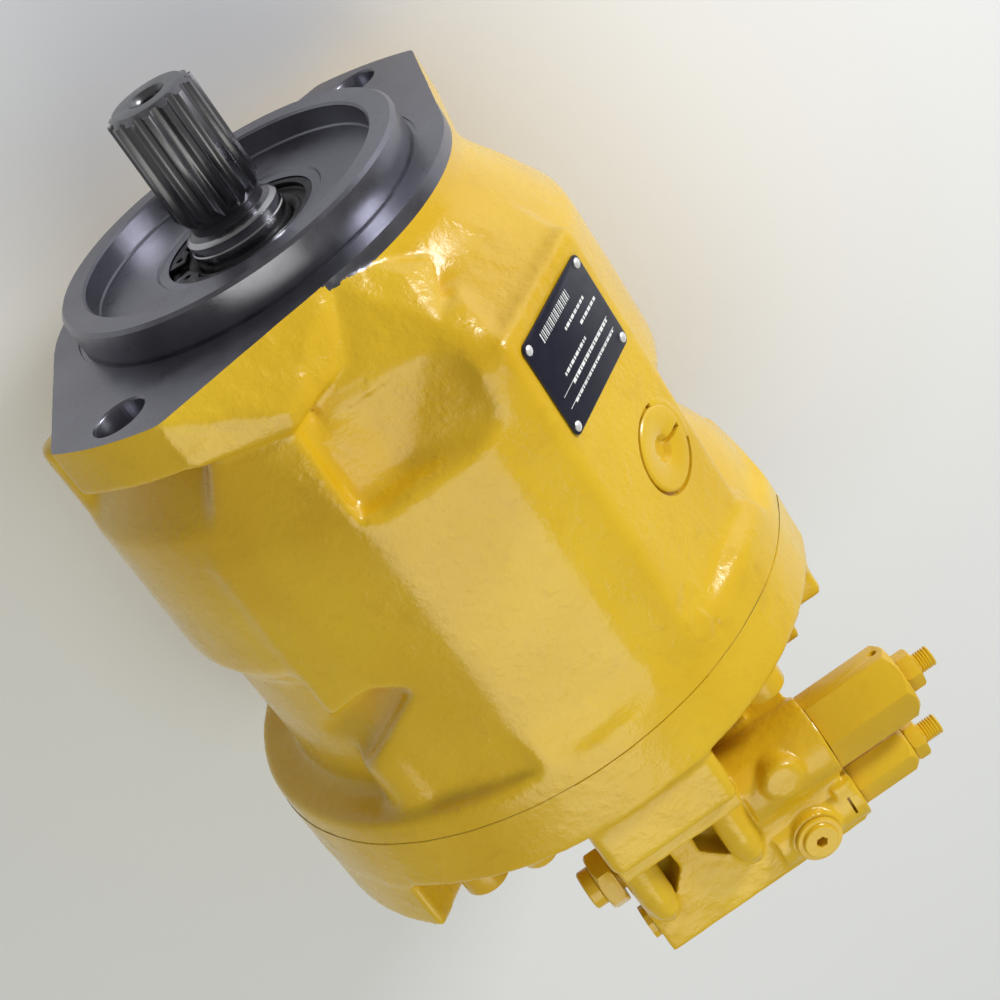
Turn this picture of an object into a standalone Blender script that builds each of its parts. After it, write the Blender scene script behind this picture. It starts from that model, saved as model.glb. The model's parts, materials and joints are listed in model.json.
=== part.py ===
"""Variable-displacement axial piston pump with a splined shaft and a two-bolt mounting flange.

The row frame has its origin at the centre of the flange face, on the shaft's axis. +Y runs
from the flange toward the back of the pump, +Z points to the side of the stroking cylinder,
and the regulator's adjusters point to -X. All sizes below are millimetres.
"""
from math import asin, atan2, cos, pi, radians, sin, sqrt

import bmesh
import bpy
from mathutils import Matrix, Vector

MM = 0.001
GAP = 0.3                      # running clearance between neighbouring pieces

# Mounting flange: SAE J744 size C with two bolts
BOLT_LINE = radians(49)        # the bolts' line, turned from +X toward +Z
BOLT_RADIUS = 90.5
BOLT_HOLE_R = 8.75
FLANGE_THICK = 17
FLANGE_R = 74.7
EAR_TIP_R = 104
EAR_TIP_HALF = asin(22 / EAR_TIP_R)
EAR_TANGENT = radians(56)
PILOT_R = 63.5
PILOT_HEIGHT = 12.5
RECESS_R = 54
RECESS_FLOOR = -4.2

# Shaft and its bearings
SHAFT_END = -56
SPLINE_R = 15.7
SPLINE_ROOT_R = 13.7
SPLINE_TEETH = 14
SPLINE_STOP = -14
CENTRE_HOLE_R = 5.5
CENTRE_HOLE_DEPTH = 24
SEAL_BORE_R = 27.5
FRONT_BEARING = (14, 34)       # y from, y to
FRONT_BEARING_R = (20, 25, 30.5, 36)
REAR_BEARING = (181, 197)
REAR_BEARING_R = (14, 17.5, 21.5, 26)

# Casing
CAVITY_R = 80
CAVITY_FRONT = 36
HOUSING_REAR = 177
DRUM_FRONT = 168
DRUM_R = 105
BAND_REAR = 200
SIDE_FLAT_X = -100.5           # the rim is flattened on the pressure side
PLATE_FRONT = HOUSING_REAR + 1
PLATE_REAR = 228
BULGE_X = (-30, 20)
BULGE_TOP = 100
BULGE_FRONT = 61
BULGE_REAR = 222
PAD_ANGLE = radians(138)       # the nameplate's flat: its outward direction
PAD_DISTANCE = 98
PLUG_Y = 116                   # the leakage port in that flat

# Rotating group
PIVOT_Y = 86                   # the swashplate turns about X through this point
PISTONS = 9
PITCH_R = 40                   # the barrel's bores
BALL_PITCH_R = 40.9            # the slippers: midway between a flat and a fully tilted plate
PISTON_R = 10
PISTON_PLAY = 1.3              # lets a piston follow its slipper's ellipse at full tilt
BARREL_R = 54.5
BARREL = (104, 172.5)
VALVE_PLATE = (172.8, 177.6)
SWASH_FACE = 79
SWASH_BACK = 65
SWASH_R = 54
CRADLE_R = 46
CRADLE_X = (28, 45)
CRADLE_HALF = radians(44)      # half the angle that a half shell covers

# Stroking cylinder and bias spring
CONTROL_X = -5
CONTROL_Z = 72
CONTROL_R = 13
BIAS_Z = -67

# Regulator
VALVE_X = (-62, 20)
VALVE_Y = (BULGE_REAR + GAP, 277)
VALVE_Z = (48, 82)
SPOOL_Z = 72.5
SPOOL_R = 4.9
PRESSURE_Y = 240.5
FLOW_Y = 267
SLEEVE_TURN = radians(-16.4)   # how far the hexagons are turned from a flat on top

COLOURS = {
    "yellow_paint": ((0.78, 0.56, 0.06), 0.32, 0.0),
    "bare_cast_iron": ((0.36, 0.38, 0.41), 0.42, 1.0),
    "steel": ((0.45, 0.46, 0.48), 0.3, 1.0),
    "dark_steel": ((0.24, 0.25, 0.27), 0.38, 1.0),
    "bronze": ((0.62, 0.42, 0.2), 0.35, 1.0),
    "black_rubber": ((0.02, 0.02, 0.02), 0.6, 0.0),
    "blue_black_plate": ((0.02, 0.025, 0.05), 0.4, 0.0),
    "gasket": ((0.12, 0.12, 0.11), 0.8, 0.0),
}


# ---- modelling helpers -------------------------------------------------------------------


def material(name):
    """Return the named Principled material, made once."""
    found = bpy.data.materials.get(name)
    if found:
        return found
    made = bpy.data.materials.new(name)
    made.use_nodes = True
    colour, roughness, metallic = COLOURS[name]
    shader = made.node_tree.nodes["Principled BSDF"]
    shader.inputs["Base Color"].default_value = (*colour, 1)
    shader.inputs["Roughness"].default_value = roughness
    shader.inputs["Metallic"].default_value = metallic
    made.diffuse_color = (*colour, 1)
    return made


def add_object(name, mesh_data, paint):
    """Turn a bmesh, given in millimetres, into a named object with one material."""
    bmesh.ops.recalc_face_normals(mesh_data, faces=mesh_data.faces)
    bmesh.ops.scale(mesh_data, vec=(MM, MM, MM), verts=mesh_data.verts)
    mesh = bpy.data.meshes.new(name)
    mesh_data.to_mesh(mesh)
    mesh_data.free()
    made = bpy.data.objects.new(name, mesh)
    bpy.context.scene.collection.objects.link(made)
    mesh.materials.append(material(paint))
    return made


def frame_for(direction):
    """Matrix that turns +Z onto a direction: 'x', '-x', 'y' or 'z', or a vector."""
    named = {"x": (1, 0, 0), "-x": (-1, 0, 0), "y": (0, 1, 0), "z": (0, 0, 1)}
    target = Vector(named.get(direction, direction) if isinstance(direction, str) else direction)
    return target.to_track_quat("Z", "Y").to_matrix().to_4x4()


def revolve(name, profile, paint, segments=24, centre=(0, 0, 0), along="y"):
    """Spin a closed profile of (radius, distance along the axis) points into a solid."""
    made = bmesh.new()
    rings = []
    for radius, height in profile:
        if radius == 0:
            rings.append([made.verts.new((0, 0, height))])
            continue
        turns = [2 * pi * step / segments for step in range(segments)]
        rings.append([made.verts.new((radius * cos(a), radius * sin(a), height)) for a in turns])
    for ring, after in zip(rings, rings[1:] + rings[:1]):
        if len(ring) == 1 and len(after) == 1:
            continue
        for step in range(segments):
            corners = [ring[step % len(ring)], ring[(step + 1) % len(ring)],
                       after[(step + 1) % len(after)], after[step % len(after)]]
            made.faces.new(list(dict.fromkeys(corners)))
    place = Matrix.Translation(centre) @ frame_for(along)
    bmesh.ops.transform(made, matrix=place, verts=made.verts)
    return add_object(name, made, paint)


def rod(name, radius, start, end, paint="steel", segments=16, centre=(0, 0, 0), along="y"):
    """A plain cylinder between two distances along its axis."""
    profile = [(0, start), (radius, start), (radius, end), (0, end)]
    return revolve(name, profile, paint, segments, centre, along)


def tube(name, inner, outer, start, end, paint, segments=24, centre=(0, 0, 0), along="y"):
    """A plain ring between two radii and two distances along its axis."""
    profile = [(inner, start), (outer, start), (outer, end), (inner, end)]
    return revolve(name, profile, paint, segments, centre, along)


def extrude(name, outline, start, end, paint, matrix=None):
    """A prism: an outline of (x, z) points carried along +Y, then moved by a matrix."""
    made = bmesh.new()
    front = [made.verts.new((x, start, z)) for x, z in outline]
    back = [made.verts.new((x, end, z)) for x, z in outline]
    made.faces.new(front)
    made.faces.new(back[::-1])
    count = len(outline)
    for step in range(count):
        after = (step + 1) % count
        made.faces.new((front[after], front[step], back[step], back[after]))
    if matrix:
        bmesh.ops.transform(made, matrix=matrix, verts=made.verts)
    return add_object(name, made, paint)


def box(name, x, y, z, paint, matrix=None):
    """A box given by its three ranges."""
    outline = [(x[0], z[0]), (x[1], z[0]), (x[1], z[1]), (x[0], z[1])]
    return extrude(name, outline, y[0], y[1], paint, matrix)


def combine(target, tool, operation):
    """Apply one exact Boolean and drop the tool."""
    cut = target.modifiers.new("combine", "BOOLEAN")
    cut.object = tool
    cut.operation = operation
    cut.solver = "EXACT"
    bpy.context.view_layer.update()
    evaluated = target.evaluated_get(bpy.context.evaluated_depsgraph_get())
    result = bpy.data.meshes.new_from_object(evaluated)
    target.modifiers.clear()
    old = target.data
    target.data = result
    result.name = target.name
    bpy.data.meshes.remove(old)
    bpy.data.objects.remove(tool)
    return target


def join(target, *tools):
    """Merge solids into the target."""
    for tool in tools:
        combine(target, tool, "UNION")
    return target


def cut(target, *tools):
    """Take solids away from the target."""
    for tool in tools:
        combine(target, tool, "DIFFERENCE")
    return target


def clean(target):
    """Weld the slivers that Booleans leave and dissolve flat edges."""
    data = bmesh.new()
    data.from_mesh(target.data)
    bmesh.ops.remove_doubles(data, verts=data.verts, dist=2e-6)
    bmesh.ops.dissolve_limit(data, angle_limit=radians(0.5), verts=data.verts, edges=data.edges)
    bmesh.ops.triangulate(data, faces=data.faces)
    data.to_mesh(target.data)
    data.free()
    return target


def arc(radius, start, end, steps, centre=(0, 0)):
    """Points of an arc, both ends included; angles in radians."""
    turns = [start + (end - start) * step / steps for step in range(steps + 1)]
    return [(centre[0] + radius * cos(a), centre[1] + radius * sin(a)) for a in turns]


def rounded_rectangle(x, z, corner, steps=3):
    """Outline of a rectangle with four round corners."""
    centres = [(x[1] - corner, z[0] + corner), (x[1] - corner, z[1] - corner),
               (x[0] + corner, z[1] - corner), (x[0] + corner, z[0] + corner)]
    outline = []
    for quarter, centre in enumerate(centres):
        start = (quarter - 1) * pi / 2
        outline += arc(corner, start, start + pi / 2, steps, centre)
    return outline


def hexagon(across_flats, turn=0.0):
    """Outline of a hexagon, with a flat facing +Z when it isn't turned."""
    corner = across_flats / sqrt(3)
    return [(corner * cos(turn + k * pi / 3), corner * sin(turn + k * pi / 3)) for k in range(6)]


def toward_minus_x(centre):
    """Matrix that lays a +Y prism along -X, with its axis through a centre."""
    return Matrix.Translation(centre) @ Matrix.Rotation(pi / 2, 4, "Z")


def toward_plus_x(centre):
    """Matrix that lays a +Y prism along +X, with its axis through a centre."""
    return Matrix.Translation(centre) @ Matrix.Rotation(-pi / 2, 4, "Z")


def coil(name, mean_r, wire_r, start, end, turns, paint, centre, along="y"):
    """A closed helical spring between two distances along its axis."""
    per_turn, sides = 8, 4
    made = bmesh.new()
    count = round(turns * per_turn)
    low, high = start + wire_r, end - wire_r
    rings = []
    for step in range(count + 1):
        angle = 2 * pi * step / per_turn
        height = low + (high - low) * step / count
        outward = Vector((cos(angle), sin(angle), 0))
        middle = outward * mean_r + Vector((0, 0, height))
        turns_round = [2 * pi * side / sides for side in range(sides)]
        rings.append([made.verts.new(middle + outward * (wire_r * cos(a)) +
                                     Vector((0, 0, wire_r * sin(a)))) for a in turns_round])
    for ring, after in zip(rings, rings[1:]):
        for side in range(sides):
            other = (side + 1) % sides
            made.faces.new((ring[side], ring[other], after[other], after[side]))
    made.faces.new(rings[0])
    made.faces.new(rings[-1][::-1])
    place = Matrix.Translation(centre) @ frame_for(along)
    bmesh.ops.transform(made, matrix=place, verts=made.verts)
    return add_object(name, made, paint)


def set_origin(target, point):
    """Move an object's origin to a point in millimetres, leaving its shape where it is."""
    shift = Vector(point) * MM
    target.data.transform(Matrix.Translation(-shift))
    target.location = shift
    return target


# ---- casing ------------------------------------------------------------------------------


def flange_outline():
    """The two-bolt flange: a circle and two tapered ears on the bolts' line."""
    outline = []
    for side in (0, pi):
        outline += arc(EAR_TIP_R, side - EAR_TIP_HALF, side + EAR_TIP_HALF, 4)
        outline += arc(FLANGE_R, side + EAR_TANGENT, side + pi - EAR_TANGENT, 5)
    spin = Matrix.Rotation(BOLT_LINE, 2)
    return [tuple(spin @ Vector(point)) for point in outline]


def bell_profile():
    """Outside of the casing from the pilot to the joint with the port plate."""
    return [(0, -PILOT_HEIGHT), (PILOT_R, -PILOT_HEIGHT), (PILOT_R, 0.5), (73, 0.5), (75, 12),
            (79, 20), (90, 37), (95.5, 46), (96, 104), (93, 109), (89, 115), (88.5, DRUM_FRONT),
            (DRUM_R - 0.5, DRUM_FRONT), (DRUM_R, HOUSING_REAR), (0, HOUSING_REAR)]


def bore_profile():
    """Inside of the casing, from its open back to the recess in the pilot."""
    bearing_r = FRONT_BEARING_R[3] + GAP
    return [(0, HOUSING_REAR + 1), (CAVITY_R, HOUSING_REAR + 1), (CAVITY_R, 46), (74, CAVITY_FRONT),
            (bearing_r, CAVITY_FRONT), (bearing_r, FRONT_BEARING[0] - GAP),
            (24, FRONT_BEARING[0] - GAP), (24, 8), (SEAL_BORE_R, 8), (SEAL_BORE_R, -1.2),
            (29, -1.2), (29, -3), (SEAL_BORE_R, -3), (SEAL_BORE_R, RECESS_FLOOR),
            (RECESS_R, RECESS_FLOOR), (RECESS_R, -PILOT_HEIGHT - 1), (0, -PILOT_HEIGHT - 1)]


def pad_matrix():
    """Matrix with local +Z pointing out of the nameplate's flat and local +X along it."""
    return Matrix.Rotation(pi / 2 - PAD_ANGLE, 4, "Y")


def cradle_saddles():
    """Two saddles at the front wall that carry the swashplate's half bearings."""
    saddles = []
    for side in (-1, 1):
        x = sorted((side * (CRADLE_X[0] - 1), side * (CRADLE_X[1] + 2)))
        saddle = box("saddle", x, (CAVITY_FRONT - 1, 62), (-35, 35), "yellow_paint")
        seat = rod("seat", CRADLE_R + 2 + 2 * GAP, x[0] - 5, x[1] + 5, "yellow_paint", 40,
                   (0, PIVOT_Y, 0), "x")
        saddles.append(cut(saddle, seat))
    return saddles


def side_flat():
    """Tool that flattens the rim on the pressure side."""
    return box("flat", (-120, SIDE_FLAT_X), (150, 240), (-80, 80), "yellow_paint")


def housing():
    """The yellow pot casing with its flange, pilot, bell, bulge and rear rim."""
    body = revolve("housing", bell_profile(), "yellow_paint", 40)
    flange = extrude("flange", flange_outline(), 0, FLANGE_THICK, "yellow_paint")
    bulge_outline = rounded_rectangle(BULGE_X, (60, BULGE_TOP), 7, 2)
    bulge = extrude("bulge", bulge_outline, BULGE_FRONT, HOUSING_REAR, "yellow_paint")
    pad = box("pad", (-21, 36), (38, DRUM_FRONT + 2), (70, PAD_DISTANCE), "yellow_paint", pad_matrix())
    shell = [flange, bulge, pad]
    for lug in (radians(52), radians(-48), radians(-132)):
        centre = (85 * cos(lug), 0, 85 * sin(lug))
        shell.append(rod("lug", 15, 140, DRUM_FRONT + 2, "yellow_paint", 16, centre))
    join(body, *shell)
    cut(body, revolve("inside", bore_profile(), "yellow_paint", 32), side_flat())
    join(body, *cradle_saddles())
    cut(body, rod("rod_room", 16, 64, HOUSING_REAR + 1, "steel", 20, (CONTROL_X, 0, CONTROL_Z)))
    for side in (-1, 1):
        x = side * BOLT_RADIUS * cos(BOLT_LINE)
        z = side * BOLT_RADIUS * sin(BOLT_LINE)
        cut(body, rod("hole", BOLT_HOLE_R, -1, FLANGE_THICK + 14, "steel", 24, (x, 0, z)))
    outward = (cos(PAD_ANGLE), 0, sin(PAD_ANGLE))
    cut(body, rod("port", 10.6, 60, 110, "steel", 16, (0, PLUG_Y, 0), outward),
        rod("face", 16, PAD_DISTANCE - 1.5, 110, "steel", 20, (0, PLUG_Y, 0), outward))
    for x, z in cap_screw_places():
        cut(body, rod("thread", 5.3, HOUSING_REAR - 20, HOUSING_REAR + 1, "steel", 8, (x, 0, z)))
    return clean(body)


def cap_screw_places():
    """Centres of the four cap screws that close the casing."""
    angles = (radians(52), radians(128), radians(-52), radians(-128))
    return [(92 * cos(angle), 92 * sin(angle)) for angle in angles]


def kidney(name, middle, half_angle, inner, outer, start, end, paint="steel"):
    """A curved slot around the shaft's axis."""
    outline = arc(outer, middle - half_angle, middle + half_angle, 6)
    outline += arc(inner, middle + half_angle, middle - half_angle, 6)
    return extrude(name, outline, start, end, paint)


def port_plate():
    """Rear cover with the kidney passages, both ports, the cylinder and the rear bearing seat."""
    body = rod("port_plate", DRUM_R, PLATE_FRONT, BAND_REAR, "yellow_paint", 40)
    pads = rod("pads", DRUM_R - 0.5, BAND_REAR - 1, BULGE_REAR, "yellow_paint", 40)
    side_lugs = box("slab", (-95, 120), (190, 230), (-62, 46), "yellow_paint")
    join(side_lugs, extrude("wedge", [(55, 40), (120, 40), (120, 112)], 191, 229, "yellow_paint"))
    combine(pads, side_lugs, "INTERSECT")
    cut(pads, box("step", (-120, -80), (212, 230), (-70, 70), "yellow_paint"),
        box("flat", (-120, -96), (BAND_REAR, 230), (-70, 70), "yellow_paint"))
    rear = rounded_rectangle((-74, 76), (-56, 44), 14)
    rear_block = extrude("rear_block", rear, BULGE_REAR - 1, PLATE_REAR, "yellow_paint")
    bulge_outline = rounded_rectangle(BULGE_X, (30, BULGE_TOP), 7, 2)
    bulge = extrude("bulge", bulge_outline, PLATE_FRONT, BULGE_REAR, "yellow_paint")
    guide_boss = rod("guide_boss", 13, BAND_REAR - 2, 214, "yellow_paint", 20, (0, 0, BIAS_Z))
    join(body, pads, rear_block, bulge, guide_boss)
    cut(body, side_flat())
    for x, z in cap_screw_places():
        cut(body, rod("seat", 9.5, BAND_REAR, BAND_REAR + 40, "steel", 12, (x, 0, z)),
            rod("clearance", 5.6, PLATE_FRONT - 1, BAND_REAR + 1, "steel", 8, (x, 0, z)))
    for middle, port_x, port_r, bolts in ((0, 38, 25, (21.45, 38.9)), (pi, -42, 12.5, (13.9, 28.6))):
        cut(body, kidney("passage", middle, radians(58), 34, 46, PLATE_FRONT - 1, 208),
            rod("port", port_r, 204.5, PLATE_REAR + 1, "steel", 28, (port_x, 0, -4)))
        for sx in (-1, 1):
            for sz in (-1, 1):
                place = (port_x + sx * bolts[0], 0, -4 + sz * bolts[1])
                cut(body, rod("thread", 5.1, PLATE_REAR - 19, PLATE_REAR + 1, "steel", 8, place))
    cut(body, rod("cylinder", CONTROL_R + GAP, PLATE_FRONT - 1, 219, "steel", 24,
                  (CONTROL_X, 0, CONTROL_Z)),
        rod("guide", 6.4, PLATE_FRONT - 1, 210, "steel", 16, (0, 0, BIAS_Z)),
        rod("bearing_seat", REAR_BEARING_R[3] + GAP, PLATE_FRONT - 1, REAR_BEARING[1] + GAP,
            "steel", 32))
    return clean(body)


def joint_gasket():
    """Flat gasket between the casing and the port plate."""
    front, back = HOUSING_REAR + 0.15, PLATE_FRONT - 0.15
    ring = tube("joint_gasket", CAVITY_R + 1, 103.5, front, back, "gasket", 32)
    cut(ring, rod("rod_room", 17, front - 1, back + 1, "steel", 10, (CONTROL_X, 0, CONTROL_Z)))
    for x, z in cap_screw_places():
        cut(ring, rod("clearance", 6, front - 1, back + 1, "steel", 8, (x, 0, z)))
    return clean(ring)


def cap_screws():
    """The four socket-head screws that hold the port plate."""
    for number, (x, z) in enumerate(cap_screw_places(), 1):
        head = BAND_REAR + GAP
        profile = [(0, HOUSING_REAR - 17), (5, HOUSING_REAR - 17), (5, head), (8.5, head),
                   (8.5, head + 11.5), (4.4, head + 11.5), (4.4, head + 6), (0, head + 6)]
        revolve(f"port_plate_screw_{number}", profile, "yellow_paint", 8, (x, 0, z))


def drain_plug():
    """Screw plug in the leakage port beside the nameplate."""
    outward = (cos(PAD_ANGLE), 0, sin(PAD_ANGLE))
    seat = PAD_DISTANCE - 1.5 + GAP
    profile = [(0, 84), (10.2, 84), (10.2, seat), (14.5, seat), (14.5, PAD_DISTANCE - GAP),
               (4, PAD_DISTANCE - GAP), (4, PAD_DISTANCE - 5), (0, PAD_DISTANCE - 5)]
    revolve("drain_plug", profile, "yellow_paint", 16, (0, PLUG_Y, 0), outward)


def nameplate():
    """Thin blank plate on the slanted flat."""
    box("nameplate", (-13, 35.5), (45, 80.5), (PAD_DISTANCE + 0.1, PAD_DISTANCE + 1.1),
        "blue_black_plate", pad_matrix())


# ---- shaft, seal and bearings ------------------------------------------------------------


def spline_outline():
    """Involute-like outline of the shaft end, four points to a tooth."""
    outline = []
    pitch = 2 * pi / SPLINE_TEETH
    for tooth in range(SPLINE_TEETH):
        middle = tooth * pitch
        for radius, part in ((SPLINE_ROOT_R, -0.33), (SPLINE_R, -0.14),
                             (SPLINE_R, 0.14), (SPLINE_ROOT_R, 0.33)):
            outline.append((radius * cos(middle + part * pitch), radius * sin(middle + part * pitch)))
    return outline


def drive_shaft():
    """Splined input shaft that carries the barrel and runs on two bearings."""
    inner, rear = FRONT_BEARING_R[0], REAR_BEARING_R[0]
    profile = [(0, SPLINE_STOP - 1), (13.2, SPLINE_STOP - 1), (13.2, -10), (17.4, -10),
               (17.4, FRONT_BEARING[0]), (inner, FRONT_BEARING[0]), (inner, 34.5), (23, 34.5),
               (23, 40), (17, 44), (17, 150), (rear, 154), (rear, 196.5), (0, 196.5)]
    shaft = revolve("drive_shaft", profile, "dark_steel", 24)
    join(shaft, extrude("spline", spline_outline(), SHAFT_END, SPLINE_STOP, "dark_steel"))
    cut(shaft, rod("centre", CENTRE_HOLE_R, SHAFT_END - 1, SHAFT_END + CENTRE_HOLE_DEPTH,
                   "steel", 16))
    return clean(shaft)


def shaft_seal():
    """Lip seal pressed into the front bore."""
    profile = [(18, 1), (19.5, -0.9), (27.2, -0.9), (27.2, 7.7), (24.5, 7.7), (24.5, 2.2),
               (20.5, 2.2), (19, 4.8), (17.7, 4.8)]
    return revolve("shaft_seal", profile, "black_rubber", 20)


def seal_circlip():
    """Internal retaining ring in front of the seal, open between its two lugs."""
    half = radians(12)
    outline = arc(28.6, half, 2 * pi - half, 28)
    outline += [(21.5 * cos(half), -21.5 * sin(half)), (21.5 * cos(3 * half), -21.5 * sin(3 * half))]
    outline += arc(24.8, 2 * pi - 3.4 * half, 3.4 * half, 22)
    outline += [(21.5 * cos(3 * half), 21.5 * sin(3 * half)), (21.5 * cos(half), 21.5 * sin(half))]
    return extrude("seal_circlip", outline, -2.8, -1.5, "dark_steel")


def roller_ring(name, radii, span, rollers):
    """Inner race with its cage and rollers, as the one piece that a fitter handles."""
    race_r, race_top, ring_out = radii[0] + 0.15, radii[1], radii[2] - GAP
    roller_r = (ring_out - race_top) / 2
    middle = (ring_out + race_top) / 2
    body = tube(name, race_r, race_top + 0.6, span[0] + 0.4, span[1] - 0.4, "steel", 24)
    for number in range(rollers):
        angle = 2 * pi * number / rollers
        place = (middle * cos(angle), 0, middle * sin(angle))
        join(body, rod("roller", roller_r, span[0] + 2, span[1] - 2, "steel", 6, place))
    return clean(body)


def bearings():
    """Cup and roller set of the two bearings."""
    for end, radii, span, rollers in (("front", FRONT_BEARING_R, FRONT_BEARING, 12),
                                      ("rear", REAR_BEARING_R, REAR_BEARING, 10)):
        tube(f"{end}_bearing_cup", radii[2], radii[3], span[0], span[1], "steel", 24)
        roller_ring(f"{end}_bearing_cone", radii, span, rollers)


# ---- swashplate and rotating group -------------------------------------------------------


def cradle_segment(radius, lowest, steps):
    """Outline in (distance along Y, height Z) of a disc segment in front of a line."""
    half = sqrt(radius ** 2 - (PIVOT_Y - lowest) ** 2)
    start = atan2(half, lowest - PIVOT_Y)
    return arc(radius, start, 2 * pi - start, steps, (PIVOT_Y, 0))


def along_x(name, outline, x, paint):
    """A prism along X from an outline of (y, z) points."""
    swap = Matrix(((0, 1, 0, 0), (1, 0, 0, 0), (0, 0, 1, 0), (0, 0, 0, 1)))
    return extrude(name, outline, x[0], x[1], paint, swap)


def swashplate():
    """Tilting plate with two cradle lobes and the two arms for the control pistons."""
    body = rod("swashplate", SWASH_R, SWASH_BACK, SWASH_FACE, "steel", 40)
    for side in (-1, 1):
        x = sorted((side * CRADLE_X[0], side * CRADLE_X[1]))
        join(body, along_x("lobe", cradle_segment(CRADLE_R, SWASH_BACK + 2, 14), x, "steel"))
    join(body, box("arm", (CONTROL_X - 7, CONTROL_X + 7), (66, 76), (45, 77), "steel"),
         box("arm", (-7, 7), (66, 76), (-74, -45), "steel"))
    cut(body, rod("bore", 27, 20, 100, "steel", 32))
    return set_origin(clean(body), (0, PIVOT_Y, 0))


def cradle_bearings():
    """Half shells between the swashplate's lobes and the casing."""
    inner, outer = CRADLE_R + GAP, CRADLE_R + 2 + GAP
    for name, side in (("right", 1), ("left", -1)):
        x = sorted((side * CRADLE_X[0], side * CRADLE_X[1]))
        outline = arc(outer, pi - CRADLE_HALF, pi + CRADLE_HALF, 12, (PIVOT_Y, 0))
        outline += arc(inner, pi + CRADLE_HALF, pi - CRADLE_HALF, 12, (PIVOT_Y, 0))
        along_x(f"cradle_bearing_{name}", outline, x, "bronze")


def piston_angle(number):
    """Angle of a piston around the shaft, from +X toward +Z."""
    return 2 * pi * number / PISTONS + pi / 2


def piston_place(number, pitch=BALL_PITCH_R):
    """Where a piston's or a bore's axis stands, in the plane across the shaft."""
    angle = piston_angle(number)
    return (pitch * cos(angle), 0, pitch * sin(angle))


def cylinder_block():
    """Barrel with nine bores, turning with the shaft."""
    body = tube("cylinder_block", 17.4, BARREL_R, BARREL[0], BARREL[1], "steel", 27)
    cut(body, rod("spring_room", 25, BARREL[0] - 1, 152, "steel", 24))
    for number in range(PISTONS):
        place = piston_place(number, PITCH_R)
        cut(body, rod("bore", PISTON_R + PISTON_PLAY, BARREL[0] - 1, 163, "steel", 16, place),
            rod("slot", 5, 162, BARREL[1] + 1, "steel", 6, place))
    return clean(body)


def pistons_and_slippers():
    """Nine pistons with ball ends, each in its slipper."""
    for number in range(PISTONS):
        place = piston_place(number)
        piston = [(0, 79.9), (4.8, 82), (6.2, 86), (4.2, 91), (4.2, 97), (PISTON_R, 98.5),
                  (PISTON_R, 148), (6, 148), (6, 112), (0, 112)]
        made = revolve(f"piston_{number + 1}", [(r, y - PIVOT_Y) for r, y in piston], "steel", 12)
        made.location = Vector((place[0], PIVOT_Y, place[2])) * MM
        slipper = [(3, 79.3), (11.8, 79.3), (11.8, 81.6), (8.4, 82), (8.4, 88.5), (6.3, 88.5),
                   (7, 85.8), (5.3, 80.9)]
        made = revolve(f"slipper_{number + 1}", [(r, y - PIVOT_Y) for r, y in slipper], "bronze", 12)
        made.location = Vector((place[0], PIVOT_Y, place[2])) * MM


def retainer_plate():
    """Holds the slippers' feet down on the swashplate."""
    body = tube("retainer_plate", 26.9, 52.5, 82.4, 85.2, "steel", 24)
    for number in range(PISTONS):
        cut(body, rod("hole", 9.4, 80, 90, "steel", 12, piston_place(number)))
    return set_origin(clean(body), (0, PIVOT_Y, 0))


def retainer_ball():
    """Spherical guide on the shaft, pressed forward by the barrel's spring."""
    ball_r, front, back = 26.4, 80, 94
    heights = [front + (back - front) * step / 4 for step in range(5)]
    outside = [(sqrt(ball_r ** 2 - (y - PIVOT_Y) ** 2), y) for y in heights]
    return revolve("retainer_ball", outside + [(23, back), (23, 101), (17.3, 101), (17.3, front)],
                   "steel", 20)


def barrel_spring():
    """Spring inside the barrel that loads the retainer ball."""
    coil("barrel_spring", 21.2, 1.7, 101.3, 150.7, 5, "steel", (0, 0, 0))


def valve_plate():
    """Fixed distributor plate with the suction and pressure kidneys."""
    body = tube("valve_plate", 17, 52, VALVE_PLATE[0], VALVE_PLATE[1], "bronze", 28)
    for middle in (0, pi):
        cut(body, kidney("slot", middle, radians(58), 35.5, 44.5, 170, 180))
    return clean(body)


# ---- control pistons ---------------------------------------------------------------------


def control_pistons():
    """The stroking piston in the bulge and the spring-loaded bias piston opposite."""
    centre = (CONTROL_X, 0, CONTROL_Z)
    profile = [(0, 76.4), (2, 76.6), (4, 77.2), (6, 79), (6, 171), (CONTROL_R, 172.5), (CONTROL_R, 196),
               (0, 196)]
    set_origin(revolve("control_piston", profile, "steel", 18, centre), (CONTROL_X, 76.4, CONTROL_Z))
    profile = [(0, 76.4), (5, 76.7), (9.2, 80), (9.2, 82), (6, 82), (6, 208), (0, 208)]
    set_origin(revolve("bias_piston", profile, "steel", 16, (0, 0, BIAS_Z)), (0, 76.4, BIAS_Z))
    coil("bias_spring", 7.9, 1.25, 82.3, 177.4, 8, "steel", (0, 0, BIAS_Z))


# ---- regulator ---------------------------------------------------------------------------


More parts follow.
